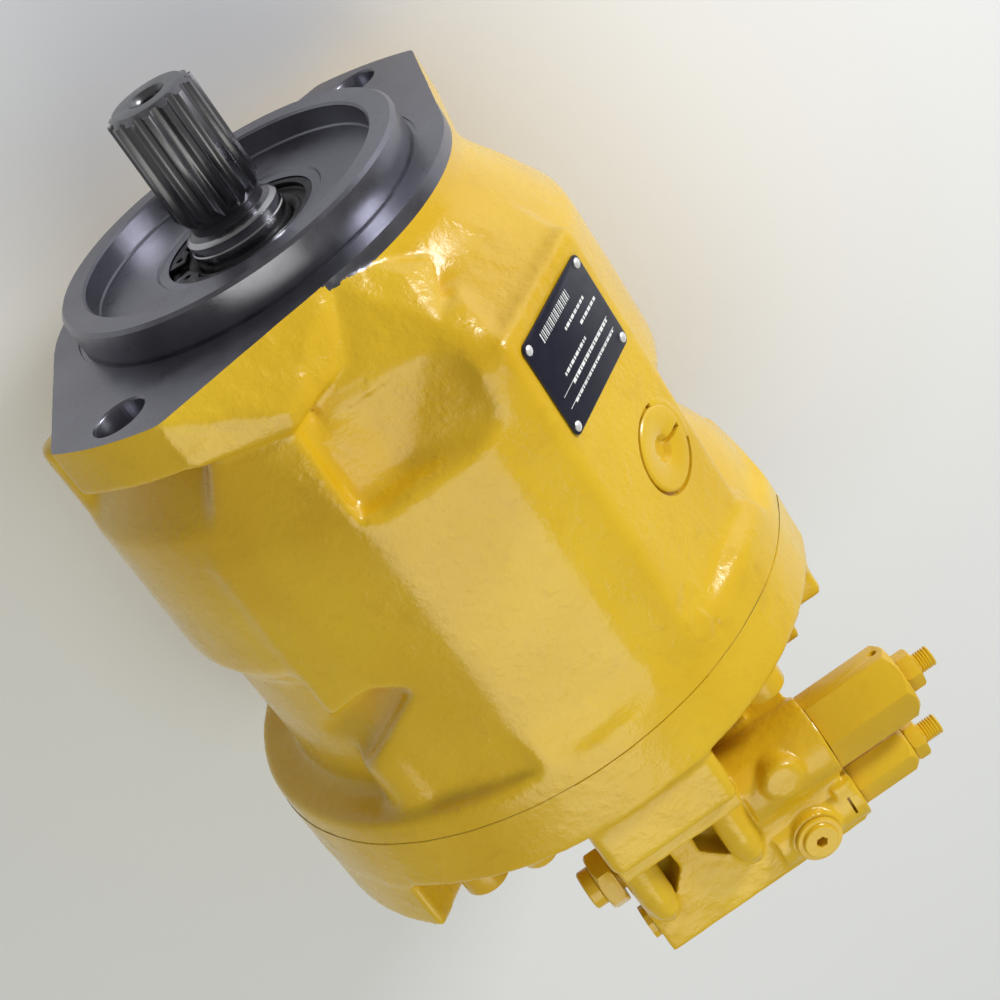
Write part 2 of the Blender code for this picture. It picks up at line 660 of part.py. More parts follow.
def control_valve_body():
    """Regulator block bolted behind the bulge, with two spool bores along X."""
    body = box("control_valve_body", VALVE_X, (228, VALVE_Y[1]), VALVE_Z, "yellow_paint")
    flange_top = BULGE_TOP - 4
    flange = box("flange", (BULGE_X[0] + 1, BULGE_X[1] - 1), (VALVE_Y[0], 229), (VALVE_Z[0], flange_top),
                 "yellow_paint")
    foot = box("foot", (-47, BULGE_X[0] + 2), (VALVE_Y[0], 230), (VALVE_Z[0] + 1, 60), "yellow_paint")
    pressure, flow = (0, PRESSURE_Y, SPOOL_Z), (0, FLOW_Y, SPOOL_Z)
    join(body, flange, foot,
         rod("barrel", 15.5, VALVE_X[0] - 1.5, -30, "yellow_paint", 20, pressure, "x"),
         rod("barrel", 12.5, VALVE_X[0] - 2.5, -30, "yellow_paint", 20, flow, "x"),
         rod("dome", 8, 70, 92, "yellow_paint", 16, (-44.5, 235.5, 0), "z"),
         rod("boss", 9.5, 60, 86, "yellow_paint", 20, (-44, 267.5, 0), "z"))
    for x in (13.5, -22):
        join(body, rod("screw_boss", 6.5, VALVE_Y[0] + 1, 262, "yellow_paint", 14, (x, 0, 84)))
    for spool in (pressure, flow):
        cut(body, rod("bore", SPOOL_R + 0.2, VALVE_X[0] - 20, VALVE_X[1] + 2, "steel", 12, spool, "x"))
        cut(body, rod("sleeve_seat", 7, VALVE_X[0] - 20, VALVE_X[0] + 10, "steel", 16, spool, "x"))
    cut(body, rod("plug_seat", 5.6, 77, 100, "steel", 14, (-44, 267.5, 0), "z"))
    cut(body, rod("cap_seat", 6.8, VALVE_X[1] - 10, VALVE_X[1] + 2.5, "steel", 14, pressure, "x"))
    return clean(body)


def adjuster(kind, y, across, base, length, nut_across, nut_thick, reach):
    """Spring sleeve, adjusting screw and lock nut on one spool bore, pointing to -X."""
    centre = (0, y, SPOOL_Z)
    matrix = toward_minus_x(centre)
    tip = base + length
    sleeve = extrude(f"{kind}_adjuster_sleeve", hexagon(across, SLEEVE_TURN), base + GAP, tip,
                     "yellow_paint", matrix)
    join(sleeve, rod("spigot", 6.8, 1 - VALVE_X[0] - 7, base + 2, "yellow_paint", 16, centre, "-x"))
    cut(sleeve, rod("spring_room", 5.6, 40, tip - 6, "steel", 14, centre, "-x"),
        rod("thread", 4.3, 40, tip + 1, "steel", 12, centre, "-x"))
    clean(sleeve)
    nut_start = tip + GAP
    nut = extrude(f"{kind}_adjuster_locknut", hexagon(nut_across, SLEEVE_TURN), nut_start,
                  nut_start + nut_thick, "yellow_paint", matrix)
    cut(nut, rod("thread", 4.3, tip, tip + 20, "steel", 12, centre, "-x"))
    set_origin(clean(nut), (-nut_start, y, SPOOL_Z))
    screw_tail = tip - 9
    screw = [(0, screw_tail), (5, screw_tail), (5, screw_tail + 2), (4, screw_tail + 2), (4, reach),
             (2, reach), (2, reach - 3), (0, reach - 3)]
    made = revolve(f"{kind}_adjuster_screw", screw, "yellow_paint", 12, centre, "-x")
    set_origin(made, (-screw_tail, y, SPOOL_Z))
    return screw_tail


def spool(kind, y, spring_end):
    """Spool with three lands and the spring that holds it."""
    lands = [(0, -44), (4.9, -44), (4.9, -30), (3, -28.5), (3, -18), (4.9, -16.5), (4.9, -6), (3, -4.5),
             (3, 1), (4.9, 2.5), (4.9, 9), (0, 9)]
    made = revolve(f"{kind}_spool", lands, "steel", 12, (0, y, SPOOL_Z), "x")
    set_origin(made, (0, y, SPOOL_Z))
    coil(f"{kind}_valve_spring", 4, 0.8, 44.4, spring_end - GAP, 5, "steel", (0, y, SPOOL_Z), "-x")


def regulator():
    """Everything on and in the control valve body."""
    control_valve_body()
    tail = adjuster("pressure", PRESSURE_Y, 25.5, 64, 35, 13, 6, 112)
    spool("pressure", PRESSURE_Y, tail)
    tail = adjuster("flow", FLOW_Y, 16, 65, 24, 13, 5, 102)
    spool("flow", FLOW_Y, tail)
    plug = [(0, 79), (5.4, 79), (5.4, 86.3), (8.5, 86.3), (8.5, 88), (6.4, 88), (6.4, 89.5), (2.2, 89.5),
            (2.2, 86), (0, 86)]
    revolve("load_sensing_plug", plug, "yellow_paint", 14, (-44, 267.5, 0), "z")
    stop_centre = (0, PRESSURE_Y, SPOOL_Z)
    stop = [(0, 10.5), (4, 10.5), (4, 28.3), (7.3, 28.3), (7.3, 33), (0, 33)]
    set_origin(revolve("spool_stop_screw", stop, "yellow_paint", 14, stop_centre, "x"), stop_centre)
    nut = extrude("spool_stop_cap", hexagon(20, SLEEVE_TURN), 21.5, 28, "yellow_paint",
                  toward_plus_x(stop_centre))
    join(nut, rod("spigot", 6.5, 11, 23, "yellow_paint", 14, stop_centre, "x"))
    cut(nut, rod("thread", 4.3, 9, 30, "steel", 12, stop_centre, "x"))
    clean(nut)
    closure = [(0, 11), (SPOOL_R, 11), (SPOOL_R, VALVE_X[1] + GAP), (6.5, VALVE_X[1] + GAP),
               (6.5, VALVE_X[1] + 2.5), (0, VALVE_X[1] + 2.5)]
    revolve("flow_bore_plug", closure, "yellow_paint", 12, (0, FLOW_Y, SPOOL_Z), "x")


def main():
    """Model every piece of the pump."""
    for old in list(bpy.data.objects):
        bpy.data.objects.remove(old)
    housing()
    port_plate()
    joint_gasket()
    cap_screws()
    drain_plug()
    nameplate()
    drive_shaft()
    shaft_seal()
    seal_circlip()
    bearings()
    swashplate()
    cradle_bearings()
    cylinder_block()
    pistons_and_slippers()
    retainer_plate()
    retainer_ball()
    barrel_spring()
    valve_plate()
    control_pistons()
    regulator()


main()
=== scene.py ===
import json
from math import asin, cos, pi, radians, sin, sqrt

import bmesh
import bpy
import numpy as np
from mathutils import Matrix, Vector, noise


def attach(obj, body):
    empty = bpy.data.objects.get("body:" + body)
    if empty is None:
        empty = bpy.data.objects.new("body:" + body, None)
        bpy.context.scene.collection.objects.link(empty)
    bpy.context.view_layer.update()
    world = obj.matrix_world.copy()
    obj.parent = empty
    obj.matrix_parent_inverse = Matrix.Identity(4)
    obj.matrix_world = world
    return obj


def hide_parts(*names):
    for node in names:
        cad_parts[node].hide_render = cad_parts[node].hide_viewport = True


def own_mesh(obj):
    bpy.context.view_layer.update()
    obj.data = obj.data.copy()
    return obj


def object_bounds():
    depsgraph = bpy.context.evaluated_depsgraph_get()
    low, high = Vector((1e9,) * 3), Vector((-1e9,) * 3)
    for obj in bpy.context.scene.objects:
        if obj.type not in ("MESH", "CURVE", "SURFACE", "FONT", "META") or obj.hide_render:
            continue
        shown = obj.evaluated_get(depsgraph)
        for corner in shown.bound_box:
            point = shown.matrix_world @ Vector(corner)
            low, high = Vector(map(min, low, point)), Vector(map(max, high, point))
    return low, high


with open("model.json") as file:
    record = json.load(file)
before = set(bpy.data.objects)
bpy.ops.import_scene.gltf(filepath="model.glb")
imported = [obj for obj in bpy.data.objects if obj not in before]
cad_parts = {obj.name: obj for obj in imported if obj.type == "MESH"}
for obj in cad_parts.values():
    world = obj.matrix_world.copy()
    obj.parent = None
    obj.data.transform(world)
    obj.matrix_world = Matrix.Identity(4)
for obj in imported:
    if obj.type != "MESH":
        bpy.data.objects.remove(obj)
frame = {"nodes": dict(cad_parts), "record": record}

CAD_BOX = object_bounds()
MM = 0.001
TO_MM = 1000
SCENE = bpy.context.scene
WIDE = (-150, 150)             # reaches past the pump on both sides

BOLT_LINE = radians(49)        # direction of the flange's two bolts, round the shaft
BOLT_R = 90.5
BOLT_HOLE_R = 8.75
FLANGE_R = 74.7
FLANGE_THICK = 17
EAR_R = 104
EAR_TIP = asin(22 / EAR_R)     # half the angle of an ear's tip
EAR_TANGENT = radians(56)      # where an ear's flank runs into the flange's circle
PILOT_R = 63.5
PILOT_FRONT = -12.5

DRUM_R = 105
BULGE_X = (-30, 20)            # the bulge on top, over the stroking cylinder
BULGE_TOP = 100
RIM_FLAT_X = -100.5            # flat on both rims beside the pressure port
SCREW_CIRCLE_R = 92
JOINT = 177.5                  # the plane where casing and port plate meet
JOINT_GAP = 0.15               # how far each of the two stays away from it
PLATE_REAR = 228
PORT_Z = -4
PORTS = ((38, 25, 21.45, 38.9), (-42, 12.5, 13.9, 28.6))    # x, radius, bolts' offsets in x and z
PIVOT_Y = 86                   # the swashplate's axis
CYLINDER = (-5, 0, 72)         # axis of the stroking cylinder and its rod
GUIDE = (0, 0, -67)            # axis of the bias spring and its guide

PAD_ANGLE = radians(138)       # direction in which the slanted flat faces
PAD_OUT = Vector((cos(PAD_ANGLE), 0, sin(PAD_ANGLE)))
PLUG_Y = 116

MOUNT_Y = 222.3                # the face that the regulator is screwed to
SPOOL_Z = 72.5
PRESSURE_Y = 240.5
FLOW_Y = 267
SENSING_PLUG = (-44, 267.5, 0)
HEX_TURN = radians(-16.4)
NUT_ACROSS = 13
THREAD_R = 4.3                 # hole round an adjusting or stop screw


# ---- materials ---------------------------------------------------------------------------


class Nodes:
    """Short way to build a material's node tree."""

    def __init__(self, name):
        self.made = bpy.data.materials.new(name)
        self.made.use_nodes = True
        self.tree = self.made.node_tree
        self.shader = self.tree.nodes["Principled BSDF"]
        self.place = self.add("ShaderNodeTexCoord").outputs["Object"]

    def add(self, kind, **settings):
        node = self.tree.nodes.new(kind)
        for key, value in settings.items():
            setattr(node, key, value)
        return node

    def link(self, source, target):
        self.tree.links.new(source, target)

    def feed(self, socket, value):
        """Give a socket a number, a colour or another node's output."""
        if isinstance(value, (int, float)):
            socket.default_value = value
        elif isinstance(value, tuple):
            socket.default_value = (*value, 1)
        else:
            self.link(value, socket)

    def noise(self, scale, detail=3.0, rough=0.5, stretch=None):
        node = self.add("ShaderNodeTexNoise")
        node.inputs["Scale"].default_value = scale
        node.inputs["Detail"].default_value = detail
        node.inputs["Roughness"].default_value = rough
        source = self.place
        if stretch:
            mapping = self.add("ShaderNodeMapping")
            mapping.inputs["Scale"].default_value = stretch
            self.link(source, mapping.inputs["Vector"])
            source = mapping.outputs["Vector"]
        self.link(source, node.inputs["Vector"])
        return node.outputs["Fac"]

    def ramp(self, source, *stops):
        node = self.add("ShaderNodeValToRGB")
        points = node.color_ramp.elements
        while len(points) < len(stops):
            points.new(0.5)
        for point, (place, colour) in zip(points, stops):
            point.position = place
            point.color = (*colour, 1) if isinstance(colour, tuple) else (colour,) * 3 + (1,)
        self.link(source, node.inputs["Fac"])
        return node.outputs["Color"]

    def maths(self, kind, *values):
        node = self.add("ShaderNodeMath", operation=kind)
        for socket, value in zip(node.inputs, values):
            self.feed(socket, value)
        return node.outputs["Value"]

    def mix(self, share, first, second):
        node = self.add("ShaderNodeMix", data_type="RGBA")
        sockets = node.inputs[0], node.inputs[6], node.inputs[7]
        for socket, value in zip(sockets, (share, first, second)):
            self.feed(socket, value)
        return node.outputs[2]

    def bumps(self, *layers):
        """Chain bump nodes: each layer is (height, strength, distance in metres)."""
        normal = None
        for height, strength, distance in layers:
            node = self.add("ShaderNodeBump")
            node.inputs["Strength"].default_value = strength
            node.inputs["Distance"].default_value = distance
            self.link(height, node.inputs["Height"])
            if normal:
                self.link(normal, node.inputs["Normal"])
            normal = node.outputs["Normal"]
        self.link(normal, self.shader.inputs["Normal"])
        return self

    def set(self, **values):
        for key, value in values.items():
            self.feed(self.shader.inputs[key.replace("_", " ")], value)


def darker(colour, share):
    """A colour with every channel scaled by a share."""
    return tuple(channel * share for channel in colour)


def yellow_enamel(name, grain):
    """Glossy yellow enamel over sand-cast iron; grain scales the relief under the paint."""
    n = Nodes(name)
    broad = n.ramp(n.noise(14, 2.0), (0.3, (0.67, 0.405, 0.01)), (0.7, (0.8, 0.53, 0.024)))
    grime = n.ramp(n.noise(90, 6.0, 0.62), (0.55, 0.0), (0.86, 0.45))
    colour = n.mix(grime, broad, (0.53, 0.3, 0.01))
    specks = n.ramp(n.noise(420, 2.0), (0.73, 0.0), (0.78, 1.0))
    colour = n.mix(n.maths("MULTIPLY", specks, 0.35), colour, (0.45, 0.26, 0.02))
    n.set(Base_Color=colour)
    n.set(Roughness=n.ramp(n.noise(60, 4.0), (0.3, 0.2), (0.75, 0.36)))
    n.set(Coat_Weight=0.22, Coat_Roughness=0.12, Specular_IOR_Level=0.45)
    peel = n.noise(1100, 1.0)
    sand = n.noise(360, 4.0, 0.6)
    lumps = n.ramp(n.noise(150, 3.0, 0.55), (0.52, 0.0), (0.72, 1.0))
    n.bumps((peel, 0.12, 0.0002), (sand, 0.38 * grain, 0.0006), (lumps, 0.2 * grain, 0.0008))
    return n.made


def machined_iron(name, colour, rough, turned=True):
    """Grey iron or steel with a faint patina; off the lathe it has rings round the shaft's axis."""
    n = Nodes(name)
    patina = n.ramp(n.noise(38, 6.0, 0.65), (0.3, darker(colour, 0.72)), (0.72, colour))
    stain = n.ramp(n.noise(230, 5.0, 0.6), (0.58, 0.0), (0.8, 0.5))
    n.set(Base_Color=n.mix(stain, patina, darker(colour, 0.5)), Metallic=1.0)
    n.set(Roughness=n.ramp(n.noise(75, 5.0, 0.6), (0.3, rough * 0.8), (0.75, rough * 1.3)))
    layers = [(n.noise(700, 3.0), 0.1, 0.0002)]
    if turned:
        parts = n.add("ShaderNodeSeparateXYZ")
        n.link(n.place, parts.inputs[0])
        across = [n.maths("POWER", parts.outputs[axis], 2.0) for axis in ("X", "Z")]
        radius = n.maths("SQRT", n.maths("ADD", *across))
        rings = n.maths("SINE", n.maths("MULTIPLY", radius, 9000.0))
        layers.append((rings, 0.08, 0.0001))
    return n.bumps(*layers).made


def brushed(name, colour, rough, stretch):
    """Ground or turned steel with fine lines along one direction."""
    n = Nodes(name)
    lines = n.noise(90, 4.0, 0.6, stretch)
    n.set(Base_Color=n.ramp(lines, (0.3, darker(colour, 0.75)), (0.75, colour)), Metallic=1.0)
    n.set(Roughness=n.ramp(n.noise(60, 5.0), (0.3, rough * 0.75), (0.75, rough * 1.35)))
    return n.bumps((lines, 0.12, 0.0003), (n.noise(900, 2.0), 0.06, 0.0002)).made


def plain(name, colour, rough, metallic, grain=400, depth=0.15):
    """Moulded or printed surface with a little grain and tone."""
    n = Nodes(name)
    n.set(Base_Color=n.ramp(n.noise(120, 4.0), (0.3, darker(colour, 0.75)), (0.7, colour)))
    n.set(Roughness=n.ramp(n.noise(200, 3.0), (0.3, rough * 0.8), (0.7, min(1.0, rough * 1.2))))
    n.set(Metallic=metallic)
    return n.bumps((n.noise(grain, 3.0), depth, 0.0003)).made


MATERIALS = {
    "cast": yellow_enamel("cast_yellow_enamel", 1.0),
    "smooth": yellow_enamel("smooth_yellow_enamel", 0.35),
    "iron": machined_iron("machined_grey_iron", (0.25, 0.25, 0.295), 0.32),
    "shaft": brushed("drawn_dark_steel", (0.2, 0.2, 0.22), 0.3, (1, 0.06, 1)),
    "collar": machined_iron("ground_collar_steel", (0.5, 0.5, 0.53), 0.2, False),
    "steel": brushed("ground_steel", (0.5, 0.51, 0.53), 0.28, (1, 0.05, 1)),
    "bronze": plain("bearing_bronze", (0.58, 0.38, 0.17), 0.34, 1.0),
    "rubber": plain("nitrile_rubber", (0.018, 0.018, 0.02), 0.55, 0.0),
    "circlip": plain("phosphated_spring_steel", (0.06, 0.06, 0.07), 0.42, 1.0),
    "plate": plain("blue_black_plate_print", (0.007, 0.008, 0.024), 0.32, 0.0, 900, 0.05),
    "print": plain("pale_plate_print", (0.9, 0.91, 0.93), 0.4, 0.0, 900, 0.05),
    "rivet": plain("aluminium_rivet", (0.9, 0.9, 0.92), 0.35, 0.4),
    "gasket": plain("gasket_fibre", (0.1, 0.1, 0.09), 0.8, 0.0),
}


# ---- solids ------------------------------------------------------------------------------


def add(name, data, look="cast"):
    """Turn a bmesh in millimetres into an object in metres with its faces pointing out."""
    bmesh.ops.recalc_face_normals(data, faces=data.faces)
    bmesh.ops.scale(data, vec=(MM, MM, MM), verts=data.verts)
    mesh = bpy.data.meshes.new(name)
    data.to_mesh(mesh)
    data.free()
    made = bpy.data.objects.new(name, mesh)
    SCENE.collection.objects.link(made)
    mesh.materials.append(MATERIALS[look])
    return made


def toward(direction):
    """Matrix that turns +Z onto a named or given direction."""
    named = {"x": (1, 0, 0), "-x": (-1, 0, 0), "y": (0, 1, 0), "z": (0, 0, 1)}
    target = Vector(named[direction] if isinstance(direction, str) else direction)
    return target.to_track_quat("Z", "Y").to_matrix().to_4x4()


def revolve(name, profile, look="cast", segments=96, centre=(0, 0, 0), along="y"):
    """Spin a closed profile of (radius, distance along the axis) points into a solid."""
    data = bmesh.new()
    rings = []
    turns = [2 * pi * step / segments for step in range(segments)]
    for radius, height in profile:
        points = [(radius * cos(a), radius * sin(a), height) for a in turns]
        rings.append([data.verts.new(point) for point in (points if radius else points[:1])])
    for ring, after in zip(rings, rings[1:] + rings[:1]):
        if len(ring) == 1 and len(after) == 1:
            continue
        for step in range(segments):
            corners = [ring[step % len(ring)], ring[(step + 1) % len(ring)],
                       after[(step + 1) % len(after)], after[step % len(after)]]
            data.faces.new(list(dict.fromkeys(corners)))
    bmesh.ops.transform(data, matrix=Matrix.Translation(centre) @ toward(along), verts=data.verts)
    return add(name, data, look)


def rod(name, radius, start, end, look="cast", segments=64, centre=(0, 0, 0), along="y", edge=0.0):
    """A cylinder, with chamfered ends where it has an edge."""
    profile = [(0, start), (radius, start), (radius, end), (0, end)]
    if edge:
        profile = [(0, start), (radius - edge, start), (radius, start + edge), (radius, end - edge),
                   (radius - edge, end), (0, end)]
    return revolve(name, profile, look, segments, centre, along)


def prism(name, outline, start, end, look="cast", matrix=None):
    """An outline of (x, z) points carried along +Y, then moved by a matrix."""
    data = bmesh.new()
    front = [data.verts.new((x, start, z)) for x, z in outline]
    back = [data.verts.new((x, end, z)) for x, z in outline]
    data.faces.new(front)
    data.faces.new(back[::-1])
    for step in range(len(outline)):
        after = (step + 1) % len(outline)
        data.faces.new((front[after], front[step], back[step], back[after]))
    if matrix:
        bmesh.ops.transform(data, matrix=matrix, verts=data.verts)
    return add(name, data, look)


def block(name, x, y, z, look="cast", matrix=None):
    """A box given by its three ranges."""
    outline = [(x[0], z[0]), (x[1], z[0]), (x[1], z[1]), (x[0], z[1])]
    return prism(name, outline, *y, look, matrix)


def hull(name, points):
    """The convex solid round some points."""
    data = bmesh.new()
    for point in points:
        data.verts.new(point)
    found = bmesh.ops.convex_hull(data, input=data.verts)
    inside = set(found["geom_interior"] + found["geom_unused"])
    bmesh.ops.delete(data, geom=list(inside), context="VERTS")
    return add(name, data)


def arc(radius, start, end, steps, centre=(0, 0)):
    """Points of an arc, both ends included; angles in radians."""
    turns = [start + (end - start) * step / steps for step in range(steps + 1)]
    return [(centre[0] + radius * cos(a), centre[1] + radius * sin(a)) for a in turns]


def rounded(x, z, corner):
    """Outline of a rectangle with round corners."""
    centres = [(x[1] - corner, z[0] + corner), (x[1] - corner, z[1] - corner),
               (x[0] + corner, z[1] - corner), (x[0] + corner, z[0] + corner)]
    outline = []
    for quarter, centre in enumerate(centres):
        start = (quarter - 1) * pi / 2
        outline += arc(corner, start, start + pi / 2, 6, centre)
    return outline


def hexagon(across, turn=HEX_TURN):
    """Outline of a hexagon, with a flat facing +Z when it isn't turned."""
    corner = across / sqrt(3)
    return [(corner * cos(turn + k * pi / 3), corner * sin(turn + k * pi / 3)) for k in range(6)]


def merge(name, parts):
    """Put several meshes of one look into one object without cutting them."""
    data = bmesh.new()
    for part in parts:
        data.from_mesh(part.data)
    mesh = bpy.data.meshes.new(name)
    data.to_mesh(mesh)
    data.free()
    for material in parts[0].data.materials:
        mesh.materials.append(material)
    made = bpy.data.objects.new(name, mesh)
    SCENE.collection.objects.link(made)
    for part in parts:
        bpy.data.objects.remove(part)
    return made


def apply(target):
    """Make an object's modifiers real."""
    bpy.context.view_layer.update()
    evaluated = target.evaluated_get(bpy.context.evaluated_depsgraph_get())
    result = bpy.data.meshes.new_from_object(evaluated)
    target.modifiers.clear()
    target.data = result
    return target


def boolean(target, tools, operation):
    """Combine an object with each tool in turn, and drop the tools."""
    for tool in tools:
        step = target.modifiers.new("step", "BOOLEAN")
        step.object = tool
        step.operation = operation
        step.solver = "MANIFOLD"
        apply(target)
        bpy.data.objects.remove(tool)
    return target


def cut(target, *tools):
    return boolean(target, tools, "DIFFERENCE")


def join(target, *tools):
    return boolean(target, tools, "UNION")


def keep(target, tool):
    return boolean(target, [tool], "INTERSECT")


def fuse(name, parts, voxel, rounds):
    """Fuse overlapping solids into one skin and relax it, which rounds every edge."""
    made = merge(name, parts)
    remesh = made.modifiers.new("fuse", "REMESH")
    remesh.mode = "VOXEL"
    remesh.voxel_size = voxel * MM
    relax = made.modifiers.new("relax", "SMOOTH")
    relax.factor = 0.5
    relax.iterations = rounds
    return apply(made)


def roughen(target, layers, where=None):
    """Move points along their normals by smooth noise: each layer is (size, height) in mm."""
    mesh = target.data
    count = len(mesh.vertices)
    points = np.empty(count * 3)
    normals = np.empty(count * 3)
    mesh.vertices.foreach_get("co", points)
    mesh.vertices.foreach_get("normal", normals)
    points = points.reshape(-1, 3)
    normals = normals.reshape(-1, 3)
    shift = np.zeros(count)
    for number, point in enumerate(points):
        share = where(point * TO_MM) if where else 1.0
        place = Vector(point)
        shift[number] = share * sum(h * noise.noise(place / (s * MM)) for s, h in layers)
    points += normals * (shift * MM)[:, None]
    mesh.vertices.foreach_set("co", points.ravel())
    mesh.update()
    return target


def paint(target, look, test):
    """Give a look to the faces whose centre (mm) and normal pass a test."""
    mesh = target.data
    names = [material.name for material in mesh.materials]
    if MATERIALS[look].name not in names:
        mesh.materials.append(MATERIALS[look])
        names.append(MATERIALS[look].name)
    index = names.index(MATERIALS[look].name)
    for face in mesh.polygons:
        if test(face.center * TO_MM, face.normal):
            face.material_index = index


def chamfer(target, width, segments=2, angle=30):
    """Round the sharp edges of a crisp piece."""
    step = target.modifiers.new("edges", "BEVEL")
    step.width = width * MM
    step.segments = segments
    step.limit_method = "ANGLE"
    step.angle_limit = radians(angle)
    apply(target)


def finish(target, body, look, *nodes, angle=32):
    """Shade a piece, and say what it rides on and stands for; its look is not used."""
    mesh = target.data
    mesh.shade_smooth()
    mesh.set_sharp_from_angle(angle=radians(angle))
    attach(target, body)
    if nodes:
        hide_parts(*nodes)


def pad_matrix():
    """Matrix with local +Z pointing out of the slanted flat and local +X along it."""
    return Matrix.Rotation(pi / 2 - PAD_ANGLE, 4, "Y")


def on_pad():
    """Matrix for prisms with an outline of (along the flat, Y) that rise out of the flat."""
    return pad_matrix() @ Matrix(((1, 0, 0, 0), (0, 0, 1, 0), (0, 1, 0, 0), (0, 0, 0, 1)))


def along_x(sign, centre):
    """Matrix that lays a +Y prism along +X or -X through a centre."""
    return Matrix.Translation(centre) @ Matrix.Rotation(-sign * pi / 2, 4, "Z")


# ---- casing ------------------------------------------------------------------------------


def flange_outline():
    """Two-bolt flange: a circle with two tapered ears."""
    outline = []
    for side in (0, pi):
        outline += arc(EAR_R, side - EAR_TIP, side + EAR_TIP, 12)
        outline += arc(FLANGE_R, side + EAR_TANGENT, side + pi - EAR_TANGENT, 30)
    spin = Matrix.Rotation(BOLT_LINE, 2)
    return [tuple(spin @ Vector(point)) for point in outline]


def round_axis(radius, degrees):
    """Centre of something that lies on a circle round the shaft's axis."""
    return radius * cos(radians(degrees)), 0, radius * sin(radians(degrees))


def cap_screw_places():
    """Centres of the four cap screws that close the casing."""
    return [round_axis(SCREW_CIRCLE_R, degrees) for degrees in (52, 128, -52, -128)]


def sector(name, start, end, y):
    """A wedge from the shaft's axis past every piece, between two angles in degrees."""
    corners = [round_axis(220, degrees) for degrees in (start, end)]
    return prism(name, [(0, 0)] + [(x, z) for x, _, z in corners], *y)


def rim_flat():
    """Tool that flattens the rims beside the pressure port."""
    return block("rim", (-130, RIM_FLAT_X), (150, 240), (-80, 80))


def unevenness(point):
    """How strongly the sand shows at a point of the housing."""
    x, y, z = point
    web = z > 68 and -24 < x < 50 and y < 26
    flash = z > 84 and -56 < x < -46 and 149 < y < 172
    if web:
        return 1.5
    if flash:
        return 4.0
    shoulder = max(0.0, 1 - abs(y - 34) / 22) if x < 10 else 0.0
    return 0.25 if y < 16 else 0.4 + 0.9 * shoulder


def pad_solids():
    """The slanted flat for plate and plug, and what blends it into the drum."""
    pad = pad_matrix()
    front = [(41, 18, 64), (-21, 18, 73), (10, 18, 76), (41, 44, 98), (-21, 44, 98),
             (41, 44, 60), (-21, 44, 60), (41, 18, 55), (-21, 18, 55)]
    beside_bulge = [(-26, 99.6), (-46, 95.4), (-26, 70), (-60, 70)]
    hollow_bed = [(18, 60, 92), (18, 42, 90), (18, 22, 80), (-34, 60, 98.2), (-34, 42, 96.5),
                  (-34, 25, 86), (-46, 60, 95.4), (-46, 42, 95.3), (-46, 25, 78), (18, 22, 55),
                  (-46, 22, 45), (18, 60, 60), (-46, 60, 60)]
    behind = [(19, 150, 99.5), (19, 166, 103.2), (19, 170, 103.3), (-29, 156, 99.5),
              (-29, 166, 100.9), (-29, 170, 101), (19, 150, 80), (19, 170, 80),
              (-29, 156, 80), (-29, 170, 80)]
    return [block("pad", (-21, 41), (38, 138), (60, 98), "cast", pad),
            block("pad_rear", (-21, 36), (130, 170), (60, 98), "cast", pad),
            hull("ramp", behind),
            hull("pad_ramp", [pad @ Vector(point) for point in front]),
            hull("valley", [(x, y, z) for y in (58, 166) for x, z in beside_bulge]),
            hull("hollow_bed", hollow_bed)]


def drum_end_solids():
    """Local swellings just before the joint: on the pressure port's side and behind the plug."""
    shoulder = [(0, 136), (87, 136), (93, 148), (97, 156), (100, 166), (100, 176), (0, 176)]
    ridge = [(0, 157), (97, 157), (103, 161), (104.4, 164), (104.4, 172), (0, 172)]
    side = block("side", (-120, -44), (130, 180), (-75, 75))
    return [keep(revolve("shoulder", shoulder), side),
            keep(revolve("ridge", ridge), sector("ridge_part", 119, 152, (150, 176)))]


def flank_solids():
    """Facets that run down from the bulge on the +X side."""
    facets = [(14, 60), (14, 100), (19, 99.3), (33, 93), (51, 82.6), (66, 71), (60, 40)]
    near = [(14, 60), (14, 90), (19, 89.5), (33, 86.5), (44, 81.5), (40, 60)]
    roots = [(x, 20, z) for x, z in near] + [(x, 58, z) for x, z in facets]
    return [prism("facets", facets, 56, 166), hull("facet_roots", roots)]


